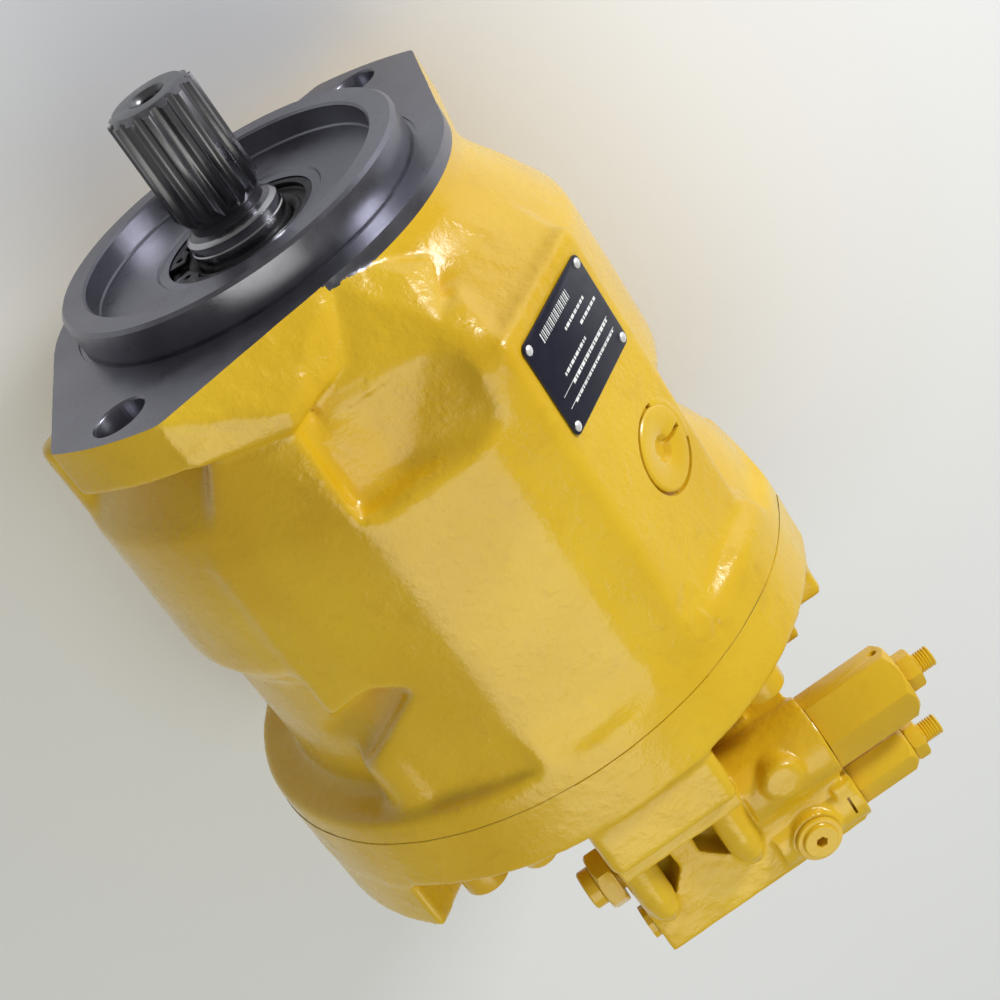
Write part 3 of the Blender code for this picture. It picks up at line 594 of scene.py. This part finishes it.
def casting():
    """The housing's cast skin, before machining."""
    bell = [(0, -8), (60, -8), (60, 0.5), (73, 0.5), (75, 12), (79, 20), (90, 37), (95.5, 46),
            (96, 104), (93, 109), (89, 115), (88.5, 168), (104.5, 168), (DRUM_R, 182), (0, 182)]
    lug = [(0, 134), (8, 136), (13, 141), (15, 148), (15, 170), (0, 170)]
    parts = [revolve("bell", bell),
             prism("bulge", rounded(BULGE_X, (50, BULGE_TOP), 4), 61, 182)]
    parts += pad_solids()
    parts.append(rod("small_lug", 8, 14, 44, "cast", 32, round_axis(87, 10)))
    parts += drum_end_solids() + flank_solids()
    parts += [revolve("lug", lug, "cast", 48, round_axis(85, angle)) for angle in (52, -48, -132)]
    body = fuse("housing_casting", parts, 1.4, 0)
    hollow = hull("hollow", [(18, 21, 87), (18, 59, 90.5), (0, 21, 84.5), (0, 59, 88),
                             (-34, 21, 88), (-34, 59, 98.2), (18, 21, 125), (18, 59, 125),
                             (-34, 21, 125), (-34, 59, 125)])
    pocket = hull("pocket", [(43, 118, 73), (36, 122, 88), (62, 147, 66), (75, 140, 48),
                             (60, 118, 100), (50, 122, 115), (90, 147, 90), (104, 140, 64)])
    cut(body, hollow, pocket)
    body = fuse("housing_casting", [body], 1.2, 22)
    web = hull("web", [(50.4, -1, 90.9), (-14, -1, 73.2), (49, 17, 92.4), (16.8, 18.5, 93.8),
                       (18, 25, 93), (-4, 20, 84), (40, 26, 80), (40, -1, 60), (0, -1, 60),
                       (0, 26, 60)])
    flange = prism("flange", flange_outline(), -2, FLANGE_THICK)
    fillet = hull("web_fillet", [(-14, 0, 72), (-4, 20, 83.4), (-34, 25, 85.5), (-34, 12, 74),
                                 (-24, 2, 68.5), (-14, 0, 50), (-34, 12, 50), (-34, 25, 60),
                                 (-4, 20, 60), (-44, 16, 68), (-4, 31, 85.2), (10, 31, 86),
                                 (10, 22, 84), (-34, 31, 89)])
    flash = revolve("flash", [(0, 150), (97, 150), (100.5, 152), (103.2, 156), (104.9, 161),
                              (104.9, 171), (0, 171)])
    keep(flash, sector("flash_part", 117.2, 120.4, (148, 176)))
    body = fuse("housing_casting", [body, flange, web, fillet, flash], 1.1, 6)
    return roughen(body, [(34, 0.45), (11, 0.2), (4.5, 0.1)], unevenness)


def machine_housing(body):
    """Cut the casting where tools have cut the real one."""
    cut(body, block("face", WIDE, (-20, 0), WIDE),
        block("back", WIDE, (JOINT - JOINT_GAP, 220), WIDE), rim_flat())
    pilot = [(0, PILOT_FRONT), (62.3, PILOT_FRONT), (PILOT_R, -11.3), (PILOT_R, 0.0), (62.9, 0.6),
             (62.9, 4), (0, 4)]
    join(body, revolve("pilot", pilot, "iron", 160))
    groove = [(PILOT_R, -0.2), (65.2, -0.2), (65.0, 0.5), (63.6, 0.5)]
    recess = [(0, -14), (54.8, -14), (54.8, PILOT_FRONT), (54, -11.7), (53.6, -4.8), (53, -4.2),
              (31.5, -4.2), (30.8, -3.5), (27.5, -3.2), (27.5, -3), (29, -3), (29, -1.2),
              (27.5, -1.2), (27.5, 8), (24, 8), (24, 13.7), (36.3, 13.7), (36.3, 36), (74, 36),
              (80, 46), (80, 182), (0, 182)]
    cut(body, revolve("groove", groove, "iron", 160), revolve("bore", recess, "iron", 128))
    hole = [(0, -1), (10.2, -1), (8.9, 0.5), (BOLT_HOLE_R, 0.8), (BOLT_HOLE_R, 18), (0, 18)]
    for side in (-1, 1):
        place = (side * BOLT_R * cos(BOLT_LINE), 0, side * BOLT_R * sin(BOLT_LINE))
        cut(body, revolve("hole", hole, "iron", 48, place),
            rod("relief", 8.8, FLANGE_THICK, 25, "cast", 48, place))
    spot = [(0, 60), (10.5, 60), (10.5, 96.4), (15.6, 96.4), (15.9, 99), (17, 110), (0, 110)]
    cut(body, revolve("spot", spot, "cast", 64, (0, PLUG_Y, 0), PAD_OUT))
    for place in cap_screw_places():
        cut(body, rod("thread", 5.3, 159, 182, "iron", 24, place))
    cut(body, rod("rod_room", 16, 64, 182, "cast", 48, CYLINDER))
    return body


def saddles(body):
    """Saddles inside the front wall that carry the swashplate's half shells."""
    for side in (-1, 1):
        x = sorted((side * 27, side * 47))
        saddle = block("saddle", x, (35.5, 62), (-35, 35))
        seat = rod("seat", 48.6, x[0] - 5, x[1] + 5, "iron", 96, (0, PIVOT_Y, 0), "x")
        join(body, cut(saddle, seat))
    return body


def axis_distance_squared(point):
    """Square of a point's distance from the shaft's axis."""
    return point.x ** 2 + point.z ** 2


def housing():
    """Yellow casing with its machined flange face and pilot."""
    body = saddles(machine_housing(casting()))
    front_bore_r, groove_r = 36.5, 75.6
    paint(body, "iron", lambda c, n: c.y < 0.02 or (
        c.y < 40 and axis_distance_squared(c) < front_bore_r ** 2))
    paint(body, "iron", lambda c, n: c.y < 4.6 and axis_distance_squared(c) < groove_r ** 2)
    finish(body, "casing", "cast", "housing", angle=38)


def rear_casting():
    """The rear cover's cast skin, before machining."""
    parts = [rod("rim", DRUM_R, 170, 200, "cast", 128)]
    pads = rod("pads", 104.5, 196, 222, "cast", 128)
    lugs = fuse("lugs", [block("slab", (-95, 120), (190, 224), (-62, 46)),
                         prism("wedge", [(55, 40), (120, 40), (120, 112)], 190, 224)], 1.6, 0)
    keep(pads, lugs)
    cut(pads, block("step", (-120, -80), (212, 230), (-70, 70)),
        block("flat", (-120, -96), (200, 230), (-70, 70)))
    parts += [pads, prism("rear_block", rounded((-74, 76), (-56, 44), 14), 210, 230),
              prism("bulge", rounded(BULGE_X, (30, BULGE_TOP), 4), 170, 222),
              rod("guide_boss", 13, 195, 214, "cast", 48, GUIDE, "y", 2),
              rod("bump", 7, 190, 206, "cast", 32, (36, 0, 88), "y", 2)]
    body = fuse("port_plate_casting", parts, 1.2, 8)
    return roughen(body, [(34, 0.3), (11, 0.15), (4.5, 0.08)])


def machine_ports(body):
    """Both ports with their passages and their four threads."""
    half = radians(58)
    thread = [(0, 209), (5.1, 211), (5.1, 227.2), (6, 229), (0, 229)]
    for middle, (port_x, port_r, bolt_x, bolt_z) in zip((0, pi), PORTS):
        kidney = arc(46, middle - half, middle + half, 24)
        kidney += arc(34, middle + half, middle - half, 24)
        port = [(0, 204.5), (port_r, 204.5), (port_r, 227), (port_r + 1, 229), (0, 229)]
        cut(body, prism("passage", kidney, 170, 208, "iron"),
            revolve("port", port, "iron", 72, (port_x, 0, PORT_Z)))
        for sx in (-1, 1):
            for sz in (-1, 1):
                place = (port_x + sx * bolt_x, 0, PORT_Z + sz * bolt_z)
                cut(body, revolve("thread", thread, "iron", 24, place))


def inside_port(point):
    """Whether a point lies on a port's wall or floor."""
    return any((point.x - x) ** 2 + (point.z - PORT_Z) ** 2 < (r + 1.2) ** 2
               for x, r, _, _ in PORTS)


def port_plate():
    """Rear cover, cast in one piece with the lugs for the screws and both ports."""
    body = rear_casting()
    cut(body, block("front", WIDE, (100, JOINT + JOINT_GAP), WIDE), rim_flat(),
        block("rear", WIDE, (PLATE_REAR, 260), WIDE),
        block("valve_face", (-60, 60), (222.15, 226), (46.5, 110)))
    for place in cap_screw_places():
        cut(body, rod("seat", 9.6, 200, 240, "cast", 48, place),
            rod("clearance", 5.6, 170, 201, "iron", 24, place))
    machine_ports(body)
    cut(body, rod("cylinder", 13.3, 170, 219, "iron", 48, CYLINDER),
        rod("guide", 6.4, 170, 210, "iron", 32, GUIDE),
        rod("bearing_seat", 26.3, 170, 197.3, "iron", 64))
    paint(body, "iron", lambda c, n: c.y > PLATE_REAR - 0.4 or (
        c.y > 206 and n.y < 0.9 and inside_port(c)))
    finish(body, "casing", "cast", "port_plate", angle=38)


def gasket():
    """Gasket whose painted edge fills the joint, except where the joint stands open."""
    front, back = JOINT - 0.13, JOINT + 0.13
    section = [(81, front), (104.9, front), (104.9, back), (81, back)]
    ring = revolve("joint_gasket_ring", section, "gasket", 128)
    gap = revolve("gap", [(103, 170), (112, 170), (112, 185), (103, 185)], "gasket", 128)
    cut(ring, rod("room", 17, 170, 180, "gasket", 48, CYLINDER),
        block("flat", (-130, RIM_FLAT_X + 0.3), (170, 180), (-80, 80)),
        keep(gap, sector("open_joint", 83, 114, (172, 183))))
    for place in cap_screw_places():
        cut(ring, rod("hole", 6, 170, 180, "gasket", 24, place))
    paint(ring, "cast", lambda c, n: axis_distance_squared(c) > 104 ** 2 or c.x < -100)
    finish(ring, "casing", "gasket", "joint_gasket")


def cap_screws():
    """The four socket-head screws that hold the rear cover."""
    shank = [(0, 160), (4, 160), (5, 161), (5, 200.3), (8.1, 200.3), (8.5, 200.7), (8.5, 210.8),
             (7.5, 211.8), (0, 211.8)]
    for number, place in enumerate(cap_screw_places(), 1):
        screw = revolve(f"port_plate_cap_screw_{number}", shank, "smooth", 48, place)
        lay = Matrix.Translation(place)
        cut(screw, prism("socket", hexagon(7, 0.2), 205.8, 215, "smooth", lay))
        chamfer(screw, 0.3)
        finish(screw, "casing", "smooth", f"port_plate_screw_{number}")


# ---- flat, plug and plate ----------------------------------------------------------------


def drain_plug():
    """Plug beside the plate: a disc in its spot face, and paint that bridges part of the gap."""
    disc = [(0, 84), (10.2, 84), (10.2, 96.8), (14.0, 96.8), (14.4, 97.2), (14.4, 97.9),
            (13.6, 98.4), (7, 98.3), (4.6, 97.4), (3.2, 95.2), (0, 94.6)]
    plug = revolve("drain_plug_disc", disc, "smooth", 72, (0, PLUG_Y, 0), PAD_OUT)
    cut(plug, block("slit", (-12, -1.5), (PLUG_Y - 0.9, PLUG_Y + 0.9), (95.6, 101), "smooth",
                    pad_matrix()))
    chamfer(plug, 0.3, 3, 25)
    finish(plug, "casing", "smooth", "drain_plug")
    start, end = radians(153), radians(250)
    outline = arc(16.6, start, end, 24) + arc(13.6, end, start, 24)
    bridge = prism("drain_plug_paint_bridge", [(u, PLUG_Y + v) for u, v in outline], 96.6, 98.1,
                   "smooth", on_pad())
    chamfer(bridge, 0.3, 2, 25)
    finish(bridge, "casing", "smooth")


def mark(x, y):
    """A printed bar on the plate, given by its ranges along the flat and along Y."""
    return block("mark", x, (98.9, 99.06), y, "print", on_pad())


def plate_marks():
    """A bar strip, five rows of short dashes and two thin rules."""
    marks = []
    for bar in range(22):
        start = 2 + bar * 1.05
        wide = (0.25, 0.45, 0.3, 0.55)[bar * 7 % 4]
        marks.append(mark((start, start + wide), (48.2, 51.6)))
    for row, (x, end) in enumerate(((-4, 12), (-9, 4), (6, 24), (-8, 22), (-8, 26))):
        y = 55.5 + row * 4.2
        while x < end:
            dash = (1.1, 1.6, 0.9, 2.0)[round(x * 3) % 4]
            marks.append(mark((x, x + dash), (y, y + 1.1)))
            x += dash + 0.55
    rule = (-9, 31)
    return marks + [mark(rule, (72.4, 72.6)), mark(rule, (67.9, 68.1))]


def nameplate():
    """Dark plate with unreadable marks and four rivets; it carries no lettering."""
    plate = prism("name_plate", rounded((-13, 35.5), (45, 80.5), 2.5), 98.1, 99.0, "plate",
                  on_pad())
    chamfer(plate, 0.2)
    finish(plate, "casing", "plate", "nameplate")
    finish(merge("name_plate_marks", plate_marks()), "casing", "print")
    head = [(0, 98.6), (1.7, 98.6), (1.7, 99.3), (1.1, 99.75), (0, 99.9)]
    rivets = []
    for x, y in ((-10.4, 47.6), (32.9, 47.6), (-10.4, 77.9), (32.9, 77.9)):
        rivets.append(revolve("rivet", head, "rivet", 24, (0, 0, 0), "z"))
        rivets[-1].data.transform(pad_matrix() @ Matrix.Translation((x * MM, y * MM, 0)))
    finish(merge("name_plate_rivets", rivets), "casing", "rivet")


# ---- shaft and seal ----------------------------------------------------------------------


def spline_outline():
    """Spline teeth with curved flanks."""
    outline = []
    teeth = 14
    pitch = 2 * pi / teeth
    flank = [(13.7, -0.36), (13.9, -0.31), (14.4, -0.26), (15.1, -0.2), (15.7, -0.13)]
    for tooth in range(teeth):
        for radius, part in flank + [(radius, -part) for radius, part in flank[::-1]]:
            angle = (tooth + part) * pitch
            outline.append((radius * cos(angle), radius * sin(angle)))
    return outline


def drive_shaft():
    """Splined shaft end with its threaded centre hole, collar and the long inner part."""
    shaft = prism("splined_drive_shaft", spline_outline(), -56, -13.5, "shaft")
    cone = revolve("cone", [(0, -60), (12.6, -60), (12.6, -56.1), (14.8, -54.2), (30, -54.2),
                            (30, -17.5), (15.8, -17.5), (13.3, -13.4), (13.3, -10), (0, -10)],
                   "shaft", 96)
    keep(shaft, cone)
    core = [(0, -15), (13.2, -15), (13.2, -10.2), (15.4, -9.4), (17.0, -8.2), (17.0, -5.2),
            (17.4, -4.8), (17.4, 14), (20, 14), (20, 34.5), (23, 34.5), (23, 40), (17, 44),
            (17, 150), (14, 154), (14, 195.8), (13.3, 196.5), (0, 196.5)]
    join(shaft, revolve("core", core, "shaft", 96))
    thread = []
    for groove in range(9):
        at = -52.5 + groove * 1.75
        thread += [(5.5, at), (5.95, at + 0.45), (5.5, at + 0.9)]
    hole = [(0, -57), (7.2, -57), (6.0, -54.8), (5.5, -54)] + thread + [(5.5, -33), (0, -30)]
    cut(shaft, revolve("centre", hole, "shaft", 48))
    chamfer(shaft, 0.25, 2, 40)
    paint(shaft, "collar", lambda c, n: -9.6 < c.y < 14)
    finish(shaft, "rotating_group", "shaft", "drive_shaft", angle=35)


def lip_seal():
    """Lip seal in the front bore."""
    seal = [(17.9, 1.6), (18.6, 0.2), (20, -0.7), (21, -0.9), (21.6, -0.3), (24.4, -0.3),
            (25, -0.9), (27.2, -0.9), (27.2, 7.7), (24.5, 7.7), (24.5, 2.2), (20.5, 2.2),
            (19, 4.8), (17.7, 4.8), (17.6, 3.4)]
    finish(revolve("shaft_lip_seal", seal, "rubber", 96), "casing", "rubber", "shaft_seal")


def circlip():
    """Open retaining ring before the seal, with an eye on each side of its gap."""
    half = radians(12)
    outline = arc(28.6, half, 2 * pi - half, 90)
    outline += arc(21.5, 2 * pi - half, 2 * pi - 2.6 * half, 6)
    outline += [(24.2 * cos(-3.1 * half), 24.2 * sin(-3.1 * half))]
    outline += arc(24.8, 2 * pi - 3.8 * half, 3.8 * half, 70)
    outline += [(24.2 * cos(3.1 * half), 24.2 * sin(3.1 * half))]
    outline += arc(21.5, 2.6 * half, half, 6)
    ring = prism("internal_circlip", outline, -2.8, -1.5, "circlip")
    for side in (-1.8, 1.8):
        place = (24 * cos(side * half), 0, 24 * sin(side * half))
        cut(ring, rod("eye", 1.25, -4, 0, "circlip", 24, place))
    chamfer(ring, 0.15)
    finish(ring, "casing", "circlip", "seal_circlip")


# ---- regulator ---------------------------------------------------------------------------


def valve_casting(pressure, flow):
    """The regulator block's cast skin with its barrels, screw bosses and plugs' seats."""
    core = block("core", (-62, 20), (228, 277), (48, 82))
    recess_right = [(-8.5, 229.2), (-7.5, 246.5), (-15, 255), (-22, 255), (-22, 229.2)]
    recess_left = [(2, 229.2), (1.5, 248), (8.5, 257), (14, 257), (14, 229.2)]
    for outline in (recess_right, recess_left):
        cut(core, hull("recess", [(x, y, z) for x, y in outline for z in (71, 90)]))
    dome = [(0, 66), (8.8, 66), (8, 80), (8, 90), (6.6, 91.6), (3.5, 92), (0, 92)]
    parts = [core,
             block("flange", (-29, 19), (MOUNT_Y, 229), (48, 96)),
             block("foot", (-47, -27), (MOUNT_Y, 232), (49, 60)),
             rod("barrel", 15.5, -64, -30, "cast", 64, pressure, "x"),
             rod("barrel", 12.5, -65, -30, "cast", 64, flow, "x"),
             revolve("dome", dome, "cast", 48, (-44.5, 235.5, 0), "z"),
             rod("boss", 9.5, 60, 86, "cast", 48, SENSING_PLUG, "z"),
             block("lock", (-64, -56.5), (256, 266), (74, 84.5))]
    boss = [(0, 223), (6.8, 223), (6.4, 250), (5.2, 257), (2.5, 261.5), (0, 262)]
    parts += [revolve("screw_boss", boss, "cast", 40, (x, 0, 84)) for x in (13.5, -22)]
    body = fuse("valve_body_casting", parts, 0.8, 5)
    return roughen(body, [(9, 0.18), (3.5, 0.1)])


def valve_body():
    """Cast regulator block, machined on its faces and bored for both spools."""
    pressure, flow = (0, PRESSURE_Y, SPOOL_Z), (0, FLOW_Y, SPOOL_Z)
    body = valve_casting(pressure, flow)
    x, z = (-80, 60), (20, 130)
    cut(body, block("mount", x, (200, MOUNT_Y), z),
        block("rear", x, (277, 300), z),
        block("barrel_end", (-80, -64), (200, 253), z),
        block("barrel_end", (-80, -65), (253, 300), z),
        block("lock_slot", (-60.6, -59.6), (262, 270), (81, 90)))
    for spool in (pressure, flow):
        cut(body, rod("bore", 5.1, -82, 22, "iron", 32, spool, "x"),
            rod("seat", 7, -82, -52, "iron", 40, spool, "x"))
    cut(body, rod("plug", 5.6, 77, 100, "cast", 40, SENSING_PLUG, "z"),
        rod("cap", 6.8, 10, 22.5, "cast", 40, pressure, "x"))
    finish(body, "casing", "cast", "control_valve_body", angle=38)


def spring_sleeve(kind, centre, across, base, tip):
    """Hexagonal sleeve over a valve spring; the wide one has a vent hole."""
    sleeve = prism("sleeve", hexagon(across), base + 0.3, tip, "smooth", along_x(-1, centre))
    corner = across / sqrt(3)
    crown = [(0, base - 5), (corner - 0.4, base - 5), (corner + 0.6, base + 1.6),
             (corner + 0.6, tip - 3.4), (across / 2 - 0.6, tip), (0, tip)]
    keep(sleeve, revolve("crown", crown, "smooth", 96, centre, "-x"))
    join(sleeve, rod("spigot", 6.8, 56, base + 2, "smooth", 48, centre, "-x"))
    cut(sleeve, rod("room", 5.6, 40, tip - 6, "steel", 32, centre, "-x"),
        rod("thread", THREAD_R, 40, tip + 1, "steel", 32, centre, "-x"))
    if across > 20:
        aside = HEX_TURN + radians(210)
        place = (4 - tip, centre[1], SPOOL_Z)
        cut(sleeve, rod("vent", 1.7, 7, 16, "smooth", 24, place, (0, cos(aside), sin(aside))))
    sleeve.name = f"{kind}_spring_sleeve"
    chamfer(sleeve, 0.5, 3, 25)
    finish(sleeve, "casing", "smooth", f"{kind}_adjuster_sleeve")


def lock_nut(kind, centre, tip, start, end):
    """Lock nut on the adjusting screw, just past the sleeve's tip."""
    nut = prism("nut", hexagon(NUT_ACROSS), start, end, "smooth", along_x(-1, centre))
    corner = NUT_ACROSS / sqrt(3)
    crown = [(0, start), (corner - 0.7, start), (corner + 0.1, start + 0.9),
             (corner + 0.1, end - 0.9), (corner - 0.7, end), (0, end)]
    keep(nut, revolve("crown", crown, "smooth", 64, centre, "-x"))
    cut(nut, rod("thread", THREAD_R, tip, tip + 20, "smooth", 32, centre, "-x"))
    nut.name = f"{kind}_lock_nut"
    chamfer(nut, 0.25, 2, 25)
    finish(nut, f"{kind}_adjuster_locknut", "smooth", f"{kind}_adjuster_locknut")


def adjusting_screw(kind, centre, tail, nut_end, reach):
    """Adjusting screw with a threaded end and a hexagon socket."""
    profile = [(0, tail), (5, tail), (5, tail + 2), (4, tail + 2)]
    at = nut_end + 0.8
    while at < reach - 1.6:
        profile += [(4, at), (3.55, at + 0.5)]
        at += 1.0
    profile += [(4, reach - 0.6), (3.4, reach), (0, reach)]
    screw = revolve("screw", profile, "smooth", 40, centre, "-x")
    cut(screw, prism("socket", hexagon(3.4), reach - 3, reach + 2, "smooth", along_x(-1, centre)))
    screw.name = f"{kind}_adjusting_screw"
    finish(screw, f"{kind}_adjuster_screw", "smooth", f"{kind}_adjuster_screw")


def adjuster(kind, y, across, base, tip, nut_thick, reach):
    """Sleeve, lock nut and adjusting screw of one spool, all pointing to -X."""
    centre = (0, y, SPOOL_Z)
    nut_start = tip + 0.3
    nut_end = nut_start + nut_thick
    spring_sleeve(kind, centre, across, base, tip)
    lock_nut(kind, centre, tip, nut_start, nut_end)
    adjusting_screw(kind, centre, tip - 9, nut_end, reach)


def load_sensing_plug():
    """Flanged plug on top of the regulator."""
    plug = [(0, 79), (5.4, 79), (5.4, 86.3), (8.2, 86.3), (8.5, 86.6), (8.5, 87.6), (8.1, 88),
            (6.6, 88), (6.4, 88.3), (6.4, 89.2), (6.0, 89.5), (0, 89.5)]
    made = revolve("flanged_plug", plug, "smooth", 56, SENSING_PLUG, "z")
    cut(made, rod("socket", 2.3, 85.5, 92, "smooth", 6, SENSING_PLUG, "z"))
    finish(made, "casing", "smooth", "load_sensing_plug")


def spool_stop():
    """Hexagon cap with the stop screw at the far end of the pressure spool."""
    centre = (0, PRESSURE_Y, SPOOL_Z)
    cap = prism("cap", hexagon(20), 21.5, 28, "smooth", along_x(1, centre))
    crown = [(0, 21.5), (10.6, 21.5), (11.7, 22.6), (11.7, 26.6), (9.8, 28), (0, 28)]
    keep(cap, revolve("crown", crown, "smooth", 64, centre, "x"))
    join(cap, rod("spigot", 6.5, 11, 23, "smooth", 40, centre, "x"))
    cut(cap, rod("thread", THREAD_R, 9, 30, "smooth", 32, centre, "x"))
    cap.name = "hexagon_stop_cap"
    chamfer(cap, 0.3, 2, 25)
    finish(cap, "casing", "smooth", "spool_stop_cap")
    stop = [(0, 10.5), (4, 10.5), (4, 28.3), (7.0, 28.3), (7.3, 28.6), (7.3, 32.4), (6.7, 33),
            (0, 33)]
    finish(revolve("stop_screw", stop, "smooth", 48, centre, "x"), "spool_stop_screw", "smooth",
           "spool_stop_screw")


def valve_spring(kind, y, end):
    """Compression spring between a spool and its adjusting screw."""
    turns, steps, sides, wire, radius, closed = 9, 28, 8, 0.8, 4.0, 1.7
    first, last = 45.2, end - wire
    data = bmesh.new()
    rings = []
    for step in range(turns * steps + 1):
        turn = step / steps
        if turn < 1:
            along = first + closed * turn
        elif turn > turns - 1:
            along = last - closed * (turns - turn)
        else:
            along = first + closed + (last - first - 2 * closed) * (turn - 1) / (turns - 2)
        out = Vector((0, cos(2 * pi * turn), sin(2 * pi * turn)))
        centre = Vector((-along, y, SPOOL_Z)) + radius * out
        spokes = [cos(a) * out + Vector((sin(a), 0, 0))
                  for a in (2 * pi * k / sides for k in range(sides))]
        rings.append([data.verts.new(centre + wire * spoke) for spoke in spokes])
    for ring, after in zip(rings, rings[1:]):
        for k in range(sides):
            beside = (k + 1) % sides
            data.faces.new((ring[k], ring[beside], after[beside], after[k]))
    data.faces.new(rings[0])
    data.faces.new(rings[-1])
    spring = add(f"{kind}_compression_spring", data, "steel")
    finish(spring, "casing", "steel", f"{kind}_valve_spring")
    # The spring starts at 44.4 mm and gives way by 3.15 mm, a little more than the spool's 3 mm.
    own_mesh(spring)


# ---- stage -------------------------------------------------------------------------------


def camera():
    """The photograph's viewpoint: the picture's right and up, and the place and lens."""
    right = Vector((-0.82321, 0.49823, 0.27220)).normalized()
    up = Vector((-0.56774, -0.72289, -0.39384)).normalized()
    back = right.cross(up).normalized()
    lens = bpy.data.cameras.new("camera")
    made = bpy.data.objects.new("camera", lens)
    SCENE.collection.objects.link(made)
    lens.lens = 77.5
    lens.sensor_width = 36
    lens.clip_start = 0.01
    place = Vector((-18.99, -230.52, 666.76)) * MM
    turn = Matrix((right, up, back)).transposed().to_4x4()
    made.matrix_world = Matrix.Translation(place) @ turn
    SCENE.camera = made


def light(name, energy, size, place, colour=(1, 1, 1)):
    """A soft box pointed at the middle of the pump; sizes and places in metres."""
    lamp = bpy.data.lights.new(name, "AREA")
    lamp.energy = energy
    lamp.shape = "RECTANGLE"
    lamp.size, lamp.size_y = size
    lamp.color = colour
    made = bpy.data.objects.new(name, lamp)
    SCENE.collection.objects.link(made)
    made.location = place
    aim = Vector((0, 0.1, 0)) - Vector(place)
    made.rotation_euler = aim.to_track_quat("-Z", "Y").to_euler()


def stage():
    """Pale floor, pale surroundings and soft boxes."""
    far = 6.0
    data = bmesh.new()
    corners = ((-far, -far), (far, -far), (far, far), (-far, far))
    data.faces.new([data.verts.new((x, y, 0)) for x, y in corners])
    mesh = bpy.data.meshes.new("floor")
    data.to_mesh(mesh)
    data.free()
    floor = bpy.data.objects.new("floor", mesh)
    SCENE.collection.objects.link(floor)
    floor.location.z = CAD_BOX[0].z - MM
    n = Nodes("pale_floor")
    tone = n.ramp(n.noise(3, 2.0), (0.3, (0.88, 0.9, 0.96)), (0.7, (0.91, 0.93, 0.99)))
    n.set(Base_Color=tone, Roughness=0.7)
    mesh.materials.append(n.made)
    world = bpy.data.worlds.new("studio")
    world.use_nodes = True
    world.node_tree.nodes["Background"].inputs["Color"].default_value = (1.0, 0.99, 0.93, 1)
    world.node_tree.nodes["Background"].inputs["Strength"].default_value = 0.26
    SCENE.world = world
    light("key", 8.5, (0.3, 0.25), (-0.95, -0.42, 0.38))
    light("top", 6.5, (1.0, 0.9), (0.15, 0.55, 1.1), colour=(1.0, 1.0, 0.86))
    SCENE.view_settings.view_transform = "Standard"


def inner_pieces():
    """Materials for the CAD pieces that stay as they are."""
    looks = {"steel": "steel", "bronze": "bronze", "dark_steel": "circlip",
             "yellow_paint": "smooth"}
    slots = {entry["node"]: entry["material_slot"] for entry in frame["record"]["subparts"]}
    for name, node in frame["nodes"].items():
        if node.hide_render:
            continue
        node.data.materials.clear()
        node.data.materials.append(MATERIALS[looks.get(slots[name], "steel")])


camera()
stage()
housing()
port_plate()
gasket()
cap_screws()
drain_plug()
nameplate()
drive_shaft()
lip_seal()
circlip()
valve_body()
adjuster("pressure", PRESSURE_Y, across=25.5, base=64, tip=99, nut_thick=6, reach=112)
adjuster("flow", FLOW_Y, across=16, base=65, tip=89, nut_thick=5, reach=102)
load_sensing_plug()
spool_stop()
valve_spring("pressure", PRESSURE_Y, 89.7)
valve_spring("flow", FLOW_Y, 79.7)
inner_pieces()
